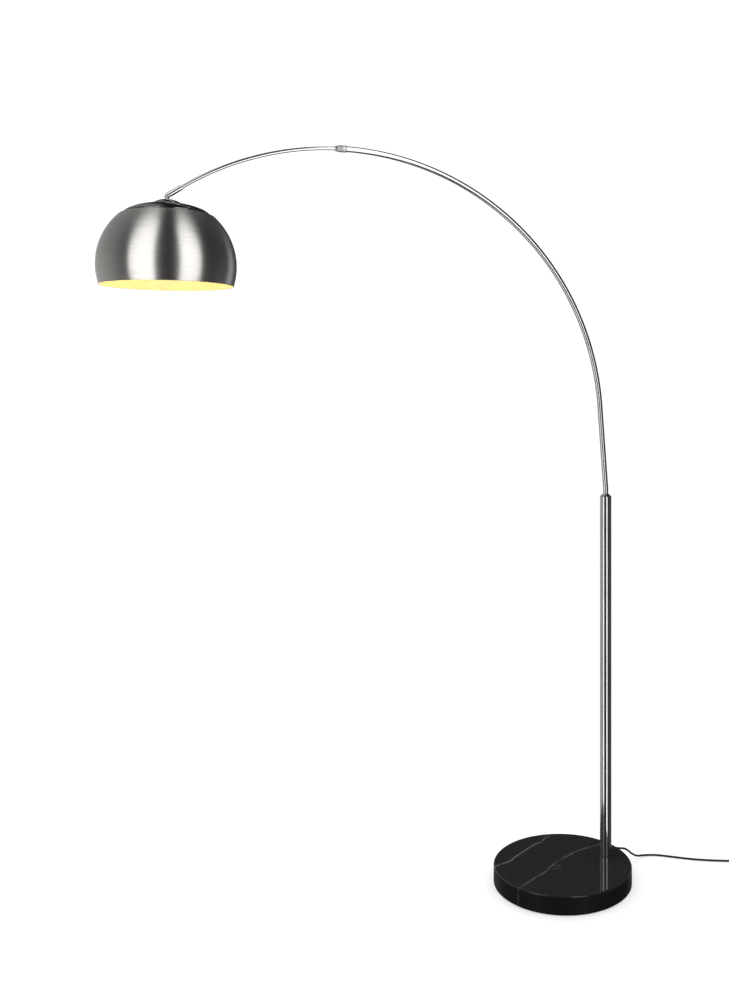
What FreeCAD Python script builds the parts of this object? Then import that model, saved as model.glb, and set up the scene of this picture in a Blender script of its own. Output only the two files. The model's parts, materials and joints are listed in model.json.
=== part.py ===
import FreeCAD, Part
import math
import os

import Sketcher
from FreeCAD import Placement, Rotation, Vector

# Arc floor lamp. Millimetres, +Z up. Origin: centre of the base's underside, on the floor.
# The arm's plane is XZ and the shade hangs toward -X. The pole stands on the +X side of the base.

doc = FreeCAD.newDocument("arc_floor_lamp")
sheet = doc.addObject("Spreadsheet::Sheet", "dims")

SIZES = [
    # base
    ("base_radius", 165.0), ("base_edge", 3.5), ("pad_radius", 160.0), ("pad_thick", 2.0), ("base_top", 45.0),
    ("pole_offset", 114.0), ("bolt_recess_radius", 16.0), ("bolt_recess_top", 18.0), ("bolt_radius", 4.0), ("bolt_clear", 4.5),
    # pole
    ("pole_radius", 14.0), ("pole_wall", 1.5), ("pole_top", 917.0), ("cap_top", 925.0), ("insert_top", 54.0),
    ("bush_low", 815.0), ("bush_ledge", 825.0), ("bush_high", 896.0), ("run_gap", 0.05), ("slack", 0.03), ("free_gap", 0.3),
    ("gland_height", 58.0), ("gland_hole", 4.4), ("gland_length", 20.0), ("cord_radius", 2.4), ("lead_radius", 1.8),
    # arc
    ("arc_radius", 626.0), ("arc_centre_reach", 639.5), ("arc_centre_height", 1088.5), ("lean_angle", 4.4), ("bend_radius", 130.0),
    ("lower_tube_radius", 6.5), ("lower_tube_wall", 1.3), ("upper_tube_radius", 4.0), ("upper_tube_wall", 0.9),
    ("upper_tube_back", 16.0), ("upper_tube_front", 35.0), ("collar_angle", 0.96), ("collar_half", 13.0), ("collar_radius", 7.9),
    ("collet_front", 1.35), ("collet_radius", 6.2),
    # knuckle
    ("sleeve_radius", 5.8), ("sleeve_angle", 33.9), ("sleeve_length", 34.75), ("shade_reach", 1017.5), ("pivot_height", 1588.7),
    ("tongue_thick", 3.7), ("fork_gap", 4.3), ("pin_radius", 1.5),
    # shade head
    ("shade_radius", 142.2), ("shade_centre", 1442.0), ("shade_rim", 1399.5), ("shade_wall", 1.2),
    ("stem_radius", 4.2), ("nipple_radius", 4.9), ("stem_bore", 2.6), ("cap_ring_radius", 86.0), ("dome_radius", 34.0),
    # cord fittings
    ("switch_half", 12.0), ("switch_radius", 16.0), ("switch_split", 9.0), ("switch_top", 18.0), ("button_radius", 8.0),
    ("coil_inner", 18.9), ("coil_outer", 38.8), ("coil_height", 9.8), ("plug_pin_radius", 2.0), ("plug_pin_gap", 19.0),
]
for row, (alias, number) in enumerate(SIZES, start=1):
    sheet.set("A%d" % row, alias)
    sheet.set("B%d" % row, repr(number))
    sheet.setAlias("B%d" % row, alias)
doc.recompute()


class Dim:
    """A length with its number and the spreadsheet expression that gives it."""

    def __init__(self, n, x=None):
        self.n = float(n)
        self.x = x if x is not None else repr(float(n))

    def __add__(self, other):
        other = dim(other)
        return Dim(self.n + other.n, "(%s + %s)" % (self.x, other.x))

    def __radd__(self, other):
        return dim(other) + self

    def __sub__(self, other):
        other = dim(other)
        return Dim(self.n - other.n, "(%s - %s)" % (self.x, other.x))

    def __rsub__(self, other):
        return dim(other) - self

    def __mul__(self, other):
        other = dim(other)
        return Dim(self.n * other.n, "(%s * %s)" % (self.x, other.x))

    __rmul__ = __mul__

    def __truediv__(self, other):
        other = dim(other)
        return Dim(self.n / other.n, "(%s / %s)" % (self.x, other.x))


def dim(value):
    return value if isinstance(value, Dim) else Dim(value)


class Sizes:
    def __getattr__(self, alias):
        return Dim(sheet.get(alias), "dims." + alias)


S = Sizes()
NODES = []


def node(obj, label):
    obj.Label = label
    NODES.append(obj)
    return obj


def place(obj, x=0, y=0, z=0, rotation=None):
    here = [dim(x), dim(y), dim(z)]
    obj.Placement = Placement(Vector(*[d.n for d in here]), rotation or Rotation())
    for axis, d in zip("xyz", here):
        if "dims." in d.x:
            obj.setExpression("Placement.Base." + axis, d.x)
    return obj


def prim(kind, name, x=0, y=0, z=0, rotation=None, **sizes):
    obj = doc.addObject("Part::" + kind, name)
    for key, value in sizes.items():
        if key == "Polygon":
            obj.Polygon = value
            continue
        value = dim(value)
        setattr(obj, key, value.n)
        if "dims." in value.x:
            obj.setExpression(key, value.x)
    return place(obj, x, y, z, rotation)


def cut(name, base, tool):
    obj = doc.addObject("Part::Cut", name)
    obj.Base, obj.Tool = base, tool
    return obj


def fuse(name, *parts):
    obj = doc.addObject("Part::MultiFuse", name)
    obj.Shapes = list(parts)
    return obj


def plane(body, role):
    return [f for f in body.Origin.OriginFeatures if f.Role == role][0]


def turned(label, profile, x=0, y=0, z=0, rotation=None):
    """A piece turned about its own Z axis. profile: (radius, height) corners in order, and
    ("arc", centre radius, centre height, arc radius, turn) between two of them, turn +1
    counter-clockwise or -1 clockwise. A corner beside an arc may leave one coordinate to the arc:
    (guess, height, "z") fixes only the height, (radius, guess, "r") only the radius."""
    body = doc.addObject("PartDesign::Body", label + "_body")
    sketch = body.newObject("Sketcher::SketchObject", label + "_profile")
    sketch.AttachmentSupport = (plane(body, "XZ_Plane"), [""])
    sketch.MapMode = "FlatFace"
    corners = [p for p in profile if p[0] != "arc"]
    arcs, at = {}, -1
    for p in profile:
        if p[0] == "arc":
            arcs[at] = p
        else:
            at += 1
    count = len(corners)
    ends = []
    for i in range(count):
        a, b = corners[i], corners[(i + 1) % count]
        pa = Vector(dim(a[0]).n, dim(a[1]).n, 0)
        pb = Vector(dim(b[0]).n, dim(b[1]).n, 0)
        if i in arcs:
            _, cr, cz, rr, turn = arcs[i]
            centre = Vector(dim(cr).n, dim(cz).n, 0)
            first, last = (pa, pb) if turn > 0 else (pb, pa)
            a0 = math.atan2(first.y - centre.y, first.x - centre.x)
            a1 = math.atan2(last.y - centre.y, last.x - centre.x)
            sketch.addGeometry(Part.ArcOfCircle(Part.Circle(centre, Vector(0, 0, 1), dim(rr).n), a0, a1), False)
            ends.append((1, 2) if turn > 0 else (2, 1))
        else:
            sketch.addGeometry(Part.LineSegment(pa, pb), False)
            ends.append((1, 2))
    for i in range(count):
        j = (i + 1) % count
        sketch.addConstraint(Sketcher.Constraint("Coincident", i, ends[i][1], j, ends[j][0]))

    def fix(kind, geo, pos, value):
        value = dim(value)
        if abs(value.n) < 1e-9:
            sketch.addConstraint(Sketcher.Constraint("PointOnObject", geo, pos, -2 if kind == "DistanceX" else -1))
            return
        k = sketch.addConstraint(Sketcher.Constraint(kind, -1, 1, geo, pos, value.n))
        if "dims." in value.x:
            sketch.setExpression("Constraints[%d]" % k, value.x)

    for i, corner in enumerate(corners):
        only = corner[2] if len(corner) > 2 else "rz"
        if "r" in only:
            fix("DistanceX", i, ends[i][0], corner[0])
        if "z" in only:
            fix("DistanceY", i, ends[i][0], corner[1])
    for i, arc in arcs.items():
        fix("DistanceX", i, 3, arc[1])
        fix("DistanceY", i, 3, arc[2])
        radius = dim(arc[3])
        k = sketch.addConstraint(Sketcher.Constraint("Radius", i, radius.n))
        if "dims." in radius.x:
            sketch.setExpression("Constraints[%d]" % k, radius.x)
    turn = body.newObject("PartDesign::Revolution", label + "_turn")
    turn.Profile = sketch
    turn.ReferenceAxis = (sketch, ["V_Axis"])
    turn.Angle = 360.0
    body.Tip = turn
    place(body, x, y, z, rotation)
    return node(body, label)


def slot_sketch(body, name, half, radius, z, hole=None):
    """A slot outline, or a circle when half is zero, on the body's XY plane at height z."""
    sketch = body.newObject("Sketcher::SketchObject", name)
    sketch.AttachmentSupport = (plane(body, "XY_Plane"), [""])
    sketch.MapMode = "FlatFace"
    sketch.AttachmentOffset = Placement(Vector(0, 0, dim(z).n), Rotation())
    if "dims." in dim(z).x:
        sketch.setExpression("AttachmentOffset.Base.z", dim(z).x)
    c, r = dim(half), dim(radius)
    if c.n == 0:
        sketch.addGeometry(Part.Circle(Vector(0, 0, 0), Vector(0, 0, 1), r.n), False)
        sketch.addConstraint(Sketcher.Constraint("Coincident", 0, 3, -1, 1))
        k = sketch.addConstraint(Sketcher.Constraint("Radius", 0, r.n))
        if "dims." in r.x:
            sketch.setExpression("Constraints[%d]" % k, r.x)
        return sketch
    up = Vector(0, 0, 1)
    sketch.addGeometry(Part.LineSegment(Vector(-c.n, -r.n, 0), Vector(c.n, -r.n, 0)), False)
    sketch.addGeometry(Part.ArcOfCircle(Part.Circle(Vector(c.n, 0, 0), up, r.n), -math.pi / 2, math.pi / 2), False)
    sketch.addGeometry(Part.LineSegment(Vector(c.n, r.n, 0), Vector(-c.n, r.n, 0)), False)
    sketch.addGeometry(Part.ArcOfCircle(Part.Circle(Vector(-c.n, 0, 0), up, r.n), math.pi / 2, 1.5 * math.pi), False)
    for a, b in ((0, 1), (1, 2), (2, 3), (3, 0)):
        sketch.addConstraint(Sketcher.Constraint("Tangent", a, 2, b, 1))
    sketch.addConstraint(Sketcher.Constraint("PointOnObject", 1, 3, -1))
    sketch.addConstraint(Sketcher.Constraint("Symmetric", 3, 3, 1, 3, -1, 1))
    sketch.addConstraint(Sketcher.Constraint("Equal", 1, 3))
    k = sketch.addConstraint(Sketcher.Constraint("Radius", 1, r.n))
    if "dims." in r.x:
        sketch.setExpression("Constraints[%d]" % k, r.x)
    k = sketch.addConstraint(Sketcher.Constraint("DistanceX", -1, 1, 1, 3, c.n))
    if "dims." in c.x:
        sketch.setExpression("Constraints[%d]" % k, c.x)
    return sketch


def pad(body, sketch, length):
    feature = body.newObject("PartDesign::Pad", sketch.Name + "_pad")
    feature.Profile = sketch
    feature.Length = dim(length).n
    if "dims." in dim(length).x:
        feature.setExpression("Length", dim(length).x)
    body.Tip = feature
    return feature


def pocket(body, sketch, depth):
    """Cuts upward from the sketch, into the piece above it."""
    feature = body.newObject("PartDesign::Pocket", sketch.Name + "_pocket")
    feature.Profile = sketch
    feature.Length = dim(depth).n
    feature.Reversed = True
    if "dims." in dim(depth).x:
        feature.setExpression("Length", dim(depth).x)
    body.Tip = feature
    return feature


def edges_at(feature, z):
    doc.recompute()
    found = []
    for i, edge in enumerate(feature.Shape.Edges, start=1):
        box = edge.BoundBox
        if abs(box.ZMin - z) < 1e-4 and abs(box.ZMax - z) < 1e-4:
            found.append("Edge%d" % i)
    return found


def rounded(body, feature, names, radius):
    fillet = body.newObject("PartDesign::Fillet", feature.Name + "_round")
    fillet.Base = (feature, names)
    fillet.Radius = radius
    body.Tip = fillet
    return fillet


# ---------------------------------------------------------------- swept tubes
def swept(edges, radius):
    """A round rod along a chain of tangent edges."""
    wire = Part.Wire(edges)
    start = edges[0].valueAt(edges[0].FirstParameter)
    along = edges[0].tangentAt(edges[0].FirstParameter)
    ring = Part.Wire([Part.makeCircle(radius, start, along)])
    solid = wire.makePipeShell([ring], True, True)
    if solid.Volume < 0:
        solid.reverse()
    return solid


def corner_path(points):
    """Straight runs joined by tangent arcs, each arc 0.45 of its shorter run."""
    points = [Vector(*p) for p in points]
    edges, radii, here = [], [], points[0]
    for a, b, c in zip(points, points[1:], points[2:]):
        back, on = (a - b), (c - b)
        short = min(back.Length, on.Length)
        back.normalize()
        on.normalize()
        turn = math.pi - back.getAngle(on)
        trim = 0.45 * short
        radii.append(trim / math.tan(turn / 2))
        p0, p2 = b + back * trim, b + on * trim
        bisector = (back + on)
        bisector.normalize()
        centre_gap = radii[-1] / math.cos(turn / 2)
        p1 = b + bisector * (centre_gap - radii[-1])
        edges.append(Part.LineSegment(here, p0).toShape())
        edges.append(Part.Arc(p0, p1, p2).toShape())
        here = p2
    edges.append(Part.LineSegment(here, points[-1]).toShape())
    return edges, radii


def feature(label, shape):
    obj = doc.addObject("Part::Feature", label + "_shape")
    obj.Shape = shape
    obj.Placement = Placement()
    return node(obj, label)


px = S.pole_offset

# ---------------------------------------------------------------- base
# Stone disc, 43 thick, with a recess under the pole for the bolt head and washers.
stone = doc.addObject("PartDesign::Body", "marble_body")
disc = slot_sketch(stone, "marble_outline", 0, S.base_radius, S.pad_thick)
disc_pad = pad(stone, disc, S.base_top - S.pad_thick)
rim_edges = edges_at(disc_pad, S.base_top.n) + edges_at(disc_pad, S.pad_thick.n)
rim = rounded(stone, disc_pad, rim_edges, S.base_edge.n)
rim.setExpression("Radius", "dims.base_edge")
for tag, radius, low, depth in (
    ("recess", S.bolt_recess_radius, S.pad_thick, S.bolt_recess_top - S.pad_thick),
    ("bore", S.bolt_clear, S.pad_thick, S.base_top),
):
    hole = slot_sketch(stone, "marble_" + tag, 0, radius, low)
    hole.AttachmentOffset = Placement(Vector(px.n, 0, dim(low).n), Rotation())
    hole.setExpression("AttachmentOffset.Base.x", px.x)
    pocket(stone, hole, depth)
node(stone, "marble_base")

pad_disc = prim("Cylinder", "pad_disc", Radius=S.pad_radius, Height=S.pad_thick)
pad_hole = prim("Cylinder", "pad_hole", x=px, z=-1, Radius=S.bolt_recess_radius + 1, Height=S.pad_thick + 2)
node(cut("pad_cut", pad_disc, pad_hole), "felt_pad")

# Pole: one straight tube standing on the stone, with the cord's hole low at its rear.
pole_out = prim("Cylinder", "pole_out", x=px, z=S.base_top, Radius=S.pole_radius, Height=S.pole_top - S.base_top)
pole_in = prim("Cylinder", "pole_in", x=px, z=S.base_top - 1, Radius=S.pole_radius - S.pole_wall, Height=S.pole_top - S.base_top + 2)
pole_shell = cut("pole_shell", pole_out, pole_in)
gland_drill = prim("Cylinder", "gland_drill", x=px + 6, z=S.gland_height, rotation=Rotation(Vector(0, 1, 0), 90), Radius=S.gland_hole - S.slack * 20, Height=14)
node(cut("pole_drilled", pole_shell, gland_drill), "pole_tube")

ins_out = prim("Cylinder", "ins_out", x=px, z=S.base_top, Radius=S.pole_radius - S.pole_wall - S.slack, Height=S.insert_top - S.base_top)
ins_in = prim("Cylinder", "ins_in", x=px, z=S.base_top - 1, Radius=S.bolt_radius + S.slack, Height=S.insert_top - S.base_top + 2)
node(cut("ins_cut", ins_out, ins_in), "pole_foot_insert")

washer_low = S.bolt_recess_top - 2
ring_out = prim("Cylinder", "wash_out", x=px, z=washer_low, Radius=14, Height=2)
ring_in = prim("Cylinder", "wash_in", x=px, z=washer_low - 1, Radius=S.bolt_radius + 0.25, Height=4)
node(cut("wash_cut", ring_out, ring_in), "base_washer")
lock_out = prim("Cylinder", "lock_out", x=px, z=washer_low - 2, Radius=7.4, Height=2)
lock_in = prim("Cylinder", "lock_in", x=px, z=washer_low - 3, Radius=S.bolt_radius + 0.25, Height=4)
lock_ring = cut("lock_ring", lock_out, lock_in)
lock_gap = prim("Box", "lock_gap", x=px + 3, y=-0.8, z=washer_low - 3, Length=6, Width=1.6, Height=4)
node(cut("lock_cut", lock_ring, lock_gap), "base_lock_washer")
head = prim("Prism", "bolt_head", x=px, z=washer_low - 7.3, Polygon=6, Circumradius=7.5, Height=5.3)
shank = prim("Cylinder", "bolt_shank", x=px, z=washer_low - 2.5, Radius=S.bolt_radius, Height=S.insert_top - washer_low + 2.0)
node(fuse("bolt", head, shank), "base_bolt")

# Cap that closes the pole and narrows to the arm tube.
cap_bore = S.lower_tube_radius + S.free_gap
turned("pole_top_cap", [
    (cap_bore, 0), (S.pole_radius - S.pole_wall - S.slack, 0), (S.pole_radius - S.pole_wall - S.slack, S.pole_top - S.bush_high - 1),
    (S.pole_radius, S.pole_top - S.bush_high - 1), (S.pole_radius, S.pole_top - S.bush_high + 0.8),
    (S.pole_radius - 1.4, S.pole_top - S.bush_high + 2.6), (S.lower_tube_radius + 1.7, S.cap_top - S.bush_high - 1.2),
    (S.lower_tube_radius + 1.2, S.cap_top - S.bush_high - 1), (cap_bore, S.cap_top - S.bush_high - 1),
], x=px, z=S.bush_high + 1)

# Plain bush in the pole: the arm's spigot turns in it and its end rests on the ledge.
turned("swivel_bush", [
    (4.5, 0), (S.pole_radius - S.pole_wall - S.slack, 0), (S.pole_radius - S.pole_wall - S.slack, S.bush_high - S.bush_low),
    (S.lower_tube_radius + S.run_gap, S.bush_high - S.bush_low), (S.lower_tube_radius + S.run_gap, S.bush_ledge - S.bush_low),
    (4.5, S.bush_ledge - S.bush_low),
], x=px, z=S.bush_low)

# Cord gland: a tapered sleeve, its axis along +X, its hole lined up with the hole in the pole.
turned("cord_gland", [
    (S.cord_radius + 0.1, 0), (S.gland_hole - 0.65, 0), (S.gland_hole - 0.65, 2.6), (S.gland_hole + 0.9, 2.6),
    (S.gland_hole + 0.9, 4.6), (S.gland_hole - 0.2, 5.6), (S.cord_radius + 0.75, S.gland_length + 1.2), (S.cord_radius + 0.1, S.gland_length + 1.2),
], x=px + S.pole_radius - 2.4, z=S.gland_height, rotation=Rotation(Vector(0, 1, 0), 90))

# Lead inside the pole: in through the gland, round a bend and up to the swivel bush.
gz, pxn, gr = S.gland_height.n, px.n, 12.0
tip_x = pxn + S.pole_radius.n - 2.4 + S.gland_length.n + 1.2
s45 = math.sin(math.pi / 4)
lead_edges = [
    Part.LineSegment(Vector(tip_x, 0, gz), Vector(pxn + 6, 0, gz)).toShape(),
    Part.Arc(Vector(pxn + 6, 0, gz), Vector(pxn + 6 - gr * s45, 0, gz + gr * (1 - s45)), Vector(pxn - 6, 0, gz + gr)).toShape(),
    Part.LineSegment(Vector(pxn - 6, 0, gz + gr), Vector(pxn - 6, 0, S.bush_low.n - 3)).toShape(),
]
feature("pole_wire", swept(lead_edges, S.cord_radius.n))

# ---------------------------------------------------------------- lower arm
arc_x = (px - S.arc_centre_reach)
arc_z = S.arc_centre_height
AX, AZ, AR = arc_x.n, arc_z.n, S.arc_radius.n


def on_arc(gamma):
    """Point of the arc's centreline, gamma degrees past its top toward the shade."""
    t = math.radians(gamma)
    return Vector(AX - AR * math.sin(t), 0, AZ + AR * math.cos(t))


lean = math.radians(S.lean_angle.n)
join = Vector(AX + AR * math.cos(lean), 0, AZ + AR * math.sin(lean))
knee_z = join.z - (pxn - join.x) / math.tan(lean)
bend = S.bend_radius.n
half = bend * math.tan(lean / 2)
b0 = Vector(pxn, 0, knee_z - half)
b2 = Vector(pxn - half * math.sin(lean), 0, knee_z + half * math.cos(lean))
b1 = Vector(pxn - bend * (1 - math.cos(lean / 2)), 0, knee_z - half + bend * math.sin(lean / 2))


def arm_edges(low, end_gamma):
    mid = on_arc(((-90 + S.lean_angle.n) + end_gamma) / 2)
    return [
        Part.LineSegment(Vector(pxn, 0, low), b0).toShape(),
        Part.Arc(b0, b1, b2).toShape(),
        Part.LineSegment(b2, join).toShape(),
        Part.Arc(join, mid, on_arc(end_gamma)).toShape(),
    ]


tube_low = S.bush_ledge.n + 0.05
lower_out = swept(arm_edges(tube_low, 0.0), S.lower_tube_radius.n)
lower_in = swept(arm_edges(tube_low, 0.0), S.lower_tube_radius.n - S.lower_tube_wall.n)
feature("lower_arc_tube", lower_out.cut(lower_in))
feature("lower_arm_wire", swept(arm_edges(tube_low + 2, -46.0), S.lead_radius.n))


def arc_ring(name, radius, front, back):
    """Rod bent to the lamp's arc from gamma = back to gamma = front, about the arc's centre."""
    span = dim(front) - dim(back)
    start = 90 + dim(back).n
    turn = Rotation(Vector(1, 0, 0), 90).multiply(Rotation(Vector(0, 0, 1), start))
    return prim("Torus", name, x=arc_x, z=arc_z, rotation=turn, Radius1=S.arc_radius, Radius2=radius, Angle1=-180, Angle2=180, Angle3=span)


# Slotted collet in the lower tube's mouth: it guides the thin tube and the collar closes it.
col_nose = arc_ring("col_nose", S.collet_radius, S.collet_front, 0.02)
col_tail = arc_ring("col_tail", S.lower_tube_radius - S.lower_tube_wall - S.slack, 0.5, -1.9)
col_bore = arc_ring("col_bore", S.upper_tube_radius + S.run_gap, S.collet_front + 0.5, -2.4)
col_solid = cut("col_solid", fuse("col_fuse", col_nose, col_tail), col_bore)
at = on_arc(1.3)
col_turn = Rotation(Vector(0, 1, 0), -1.3)
slit_a = prim("Box", "slit_a", x=at.x - 9, y=-0.4, z=at.z - 9, Length=12.5, Width=0.8, Height=18)
slit_b = prim("Box", "slit_b", x=at.x - 9, y=-9, z=at.z - 0.4, Length=12.5, Width=18, Height=0.8)
node(cut("col_cut", col_solid, fuse("slits", slit_a, slit_b)), "locking_collet")

# ---------------------------------------------------------------- twist collar
# Its axis is the arc's tangent at the collar. Local +Z points toward the shade.
cg = S.collar_angle.n
cc = on_arc(cg)
collar_turn = Rotation(Vector(0, 0, 1), Vector(-math.cos(math.radians(cg)), 0, -math.sin(math.radians(cg))))
start = cc - collar_turn.multVec(Vector(0, 0, S.collar_half.n))
wide = S.lower_tube_radius + S.free_gap * 1.5
turned("lock_collar", [
    (wide, 0), (S.collar_radius - 0.5, 0), (S.collar_radius, 0.6), (S.collar_radius, S.collar_half + 4.0),
    (S.collar_radius - 0.5, S.collar_half + 4.8), (5.8, 2 * S.collar_half - 0.5), (5.3, 2 * S.collar_half),
    (S.upper_tube_radius + S.free_gap * 1.5, 2 * S.collar_half), (S.upper_tube_radius + S.free_gap * 1.5, S.collar_half + 4.9),
    (wide, S.collar_half + 4.9),
], x=start.x, y=start.y, z=start.z, rotation=collar_turn)

# ---------------------------------------------------------------- upper arm
up_out = arc_ring("up_out", S.upper_tube_radius, S.upper_tube_front, 0 - S.upper_tube_back)
up_in = arc_ring("up_in", S.upper_tube_radius - S.upper_tube_wall, S.upper_tube_front + 0.3, 0 - S.upper_tube_back - 0.3)
node(cut("up_cut", up_out, up_in), "upper_arc_tube")
gb_out = arc_ring("gb_out", S.lower_tube_radius - S.lower_tube_wall - S.run_gap, 0 - S.upper_tube_back + 2.2, 0 - S.upper_tube_back)
gb_in = arc_ring("gb_in", S.upper_tube_radius + S.slack, 0 - S.upper_tube_back + 2.6, 0 - S.upper_tube_back - 0.4)
node(cut("gb_cut", gb_out, gb_in), "guide_bush")
node(arc_ring("up_lead", S.lead_radius, S.upper_tube_front - 0.4, 0.4 - S.upper_tube_back), "upper_arm_wire")

# End sleeve: a turned sleeve on the tube's tangent with a forked, half-round lower end.
pivot_x = px - S.shade_reach
PX, PZ = pivot_x.n, S.pivot_height.n
sa = math.radians(S.sleeve_angle.n)
sleeve_dir = Vector(-math.cos(sa), 0, -math.sin(sa))
sleeve_turn = Rotation(Vector(0, 0, 1), sleeve_dir)
sl = S.sleeve_length.n
origin = Vector(PX, 0, PZ) - sleeve_dir * sl
barrel = prim("Cylinder", "fork_barrel", x=origin.x, z=origin.z, rotation=sleeve_turn, Radius=S.sleeve_radius, Height=S.sleeve_length + S.sleeve_radius + 1)
nose = prim("Cylinder", "fork_nose", x=pivot_x, y=0 - S.sleeve_radius - 2, z=S.pivot_height, rotation=Rotation(Vector(1, 0, 0), -90), Radius=S.sleeve_radius + 0.1, Height=2 * S.sleeve_radius + 4)
shank_room = prim("Cylinder", "fork_room", x=origin.x + sleeve_dir.x * -2, z=origin.z + sleeve_dir.z * -2, rotation=sleeve_turn, Radius=S.sleeve_radius + 3, Height=S.sleeve_length + 2)
fork_body = doc.addObject("Part::Common", "fork_body")
fork_body.Base, fork_body.Tool = barrel, fuse("fork_limit", nose, shank_room)
fork_bore = prim("Cylinder", "fork_bore", x=origin.x - sleeve_dir.x, z=origin.z - sleeve_dir.z, rotation=sleeve_turn, Radius=S.upper_tube_radius + 0.16, Height=16)
lead_bore = prim("Cylinder", "lead_bore", x=origin.x, z=origin.z, rotation=sleeve_turn, Radius=2.4, Height=S.sleeve_length - 8)
slot_home = Vector(PX, 0, PZ) - sleeve_dir * 8.0
slot_cut = prim("Box", "fork_slot", x=slot_home.x, y=0 - S.fork_gap / 2, z=slot_home.z, Length=24, Width=S.fork_gap, Height=24)
slot_cut.Placement = Placement(slot_home + Vector(0, -S.fork_gap.n / 2, 0), Rotation(Vector(0, 1, 0), 180 - S.sleeve_angle.n)).multiply(Placement(Vector(0, 0, -12), Rotation()))
ear_hole = prim("Cylinder", "ear_hole", x=pivot_x, y=-10, z=S.pivot_height, rotation=Rotation(Vector(1, 0, 0), -90), Radius=S.pin_radius + S.slack, Height=20)
fork = cut("fork_1", cut("fork_2", cut("fork_3", cut("fork_4", fork_body, fork_bore), lead_bore), slot_cut), ear_hole)
node(fork, "knuckle_fork")

# Pin: a screw across the fork with a slotted head on one side and a nut on the other.
pin_rod = prim("Cylinder", "pin_rod", x=pivot_x, y=0 - S.sleeve_radius - 2.2, z=S.pivot_height, rotation=Rotation(Vector(1, 0, 0), -90), Radius=S.pin_radius, Height=2 * S.sleeve_radius + 3.2)
pin_head = prim("Cylinder", "pin_head", x=pivot_x, y=S.sleeve_radius + 0.02, z=S.pivot_height, rotation=Rotation(Vector(1, 0, 0), -90), Radius=2.7, Height=1.6)
pin_nut = prim("Prism", "pin_nut", x=pivot_x, y=0 - S.sleeve_radius - 1.9, z=S.pivot_height, rotation=Rotation(Vector(1, 0, 0), -90), Polygon=6, Circumradius=3.0, Height=1.88)
pin_slot = prim("Box", "pin_slot", x=pivot_x - 3, y=S.sleeve_radius + 0.95, z=S.pivot_height - 0.35, Length=6, Width=1.2, Height=0.7)
node(cut("pin_cut", fuse("pin", pin_rod, pin_head, pin_nut), pin_slot), "knuckle_pin")

# ---------------------------------------------------------------- shade head
hx = pivot_x
PH = S.pivot_height
stem_top = PH - 6.5
stem_low = Dim(1548.0)
tongue = prim("Box", "tongue", x=hx - S.stem_radius, y=0 - S.tongue_thick / 2, z=stem_top - 0.5, Length=2 * S.stem_radius, Width=S.tongue_thick, Height=7.0)
tongue_top = prim("Cylinder", "tongue_top", x=hx, y=0 - S.tongue_thick / 2, z=PH, rotation=Rotation(Vector(1, 0, 0), -90), Radius=S.stem_radius, Height=S.tongue_thick)
stem = prim("Cylinder", "stem", x=hx, z=1569.0, Radius=S.stem_radius, Height=stem_top - 1569.0)
nipple = prim("Cylinder", "nipple", x=hx, z=stem_low, Radius=S.nipple_radius, Height=1569.0 - stem_low)
stem_all = fuse("stem_all", tongue, tongue_top, stem, nipple)
stem_hole = prim("Cylinder", "stem_hole", x=hx, z=stem_low - 1, Radius=S.stem_bore, Height=stem_top - stem_low - 1.0)
tongue_hole = prim("Cylinder", "tongue_hole", x=hx, y=-5, z=PH, rotation=Rotation(Vector(1, 0, 0), -90), Radius=S.pin_radius + S.run_gap, Height=10)
node(cut("stem_1", cut("stem_2", stem_all, stem_hole), tongue_hole), "knuckle_stem")

# Small upper dome, a shell of a ball 54.2 in radius.
dome_ball = 54.2
dome_low = 1571.6
dome_apex = 1581.6
dc = dome_apex - dome_ball - dome_low
turned("cap_dome", [
    (30.4, 0.0), (31.9, 0.0, "z"), ("arc", 0, dc, dome_ball, 1), (S.stem_radius + 0.15, dc + dome_ball - 0.2, "r"),
    (S.stem_radius + 0.15, dc + dome_ball - 1.5, "r"), ("arc", 0, dc, dome_ball - 1.3, -1), (29.0, 0.6, "z"), (30.4, 0.6),
], x=hx, z=dome_low)

# Wide lower ring of the cap: a shallow dish with a rounded edge.
rb = 1551.2
turned("cap_ring", [
    (S.nipple_radius + 0.1, 1569.9 - rb), (34.0, 1569.3 - rb), (45.0, 1567.4 - rb), (60.0, 1563.6 - rb), (69.4, 1560.2 - rb), (77.0, 1556.8 - rb), (S.cap_ring_radius - 2.0, 1552.0 - rb), (S.cap_ring_radius - 0.6, 1551.4 - rb),
    (S.cap_ring_radius, 1552.2 - rb), (S.cap_ring_radius - 1.2, 1553.9 - rb), (77.8, 1558.3 - rb), (69.9, 1561.8 - rb), (60.4, 1565.2 - rb), (45.2, 1569.0 - rb), (34.1, 1570.9 - rb), (S.nipple_radius + 0.1, 1571.5 - rb),
], x=hx, z=rb)

# Shade: a spun ball with its top flattened under the cap. Arcs inside and out, 1.2 thick.
zc = S.shade_centre - S.shade_rim
w = S.shade_wall
turned("shade", [
    (135.6, 0, "z"), ("arc", 0, zc, S.shade_radius, 1), (96.0, 104.9, "r"), (90.0, 1549.6 - 1399.5 - 0.15), (83.5, 1551.7 - 1399.5), (77.0, 1555.9 - 1399.5 + 0.3), (69.2, 1559.6 - 1399.5), (59.8, 1563.1 - 1399.5), (44.9, 1566.9 - 1399.5), (33.9, 1568.9 - 1399.5), (S.nipple_radius + 0.2, 1569.6 - 1399.5),
    (S.nipple_radius + 0.2, 1568.4 - 1399.5), (33.8, 1567.7 - 1399.5), (44.6, 1565.7 - 1399.5), (59.4, 1561.9 - 1399.5), (68.7, 1558.5 - 1399.5), (76.4, 1555.0 - 1399.5), (83.0, 1550.5 - 1399.5), (89.4, 1548.4 - 1399.5 - 0.15), (95.3, 103.8, "r"), ("arc", 0, zc, S.shade_radius - w, -1), (134.4, 0, "z"),
], x=hx, z=S.shade_rim)

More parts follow.
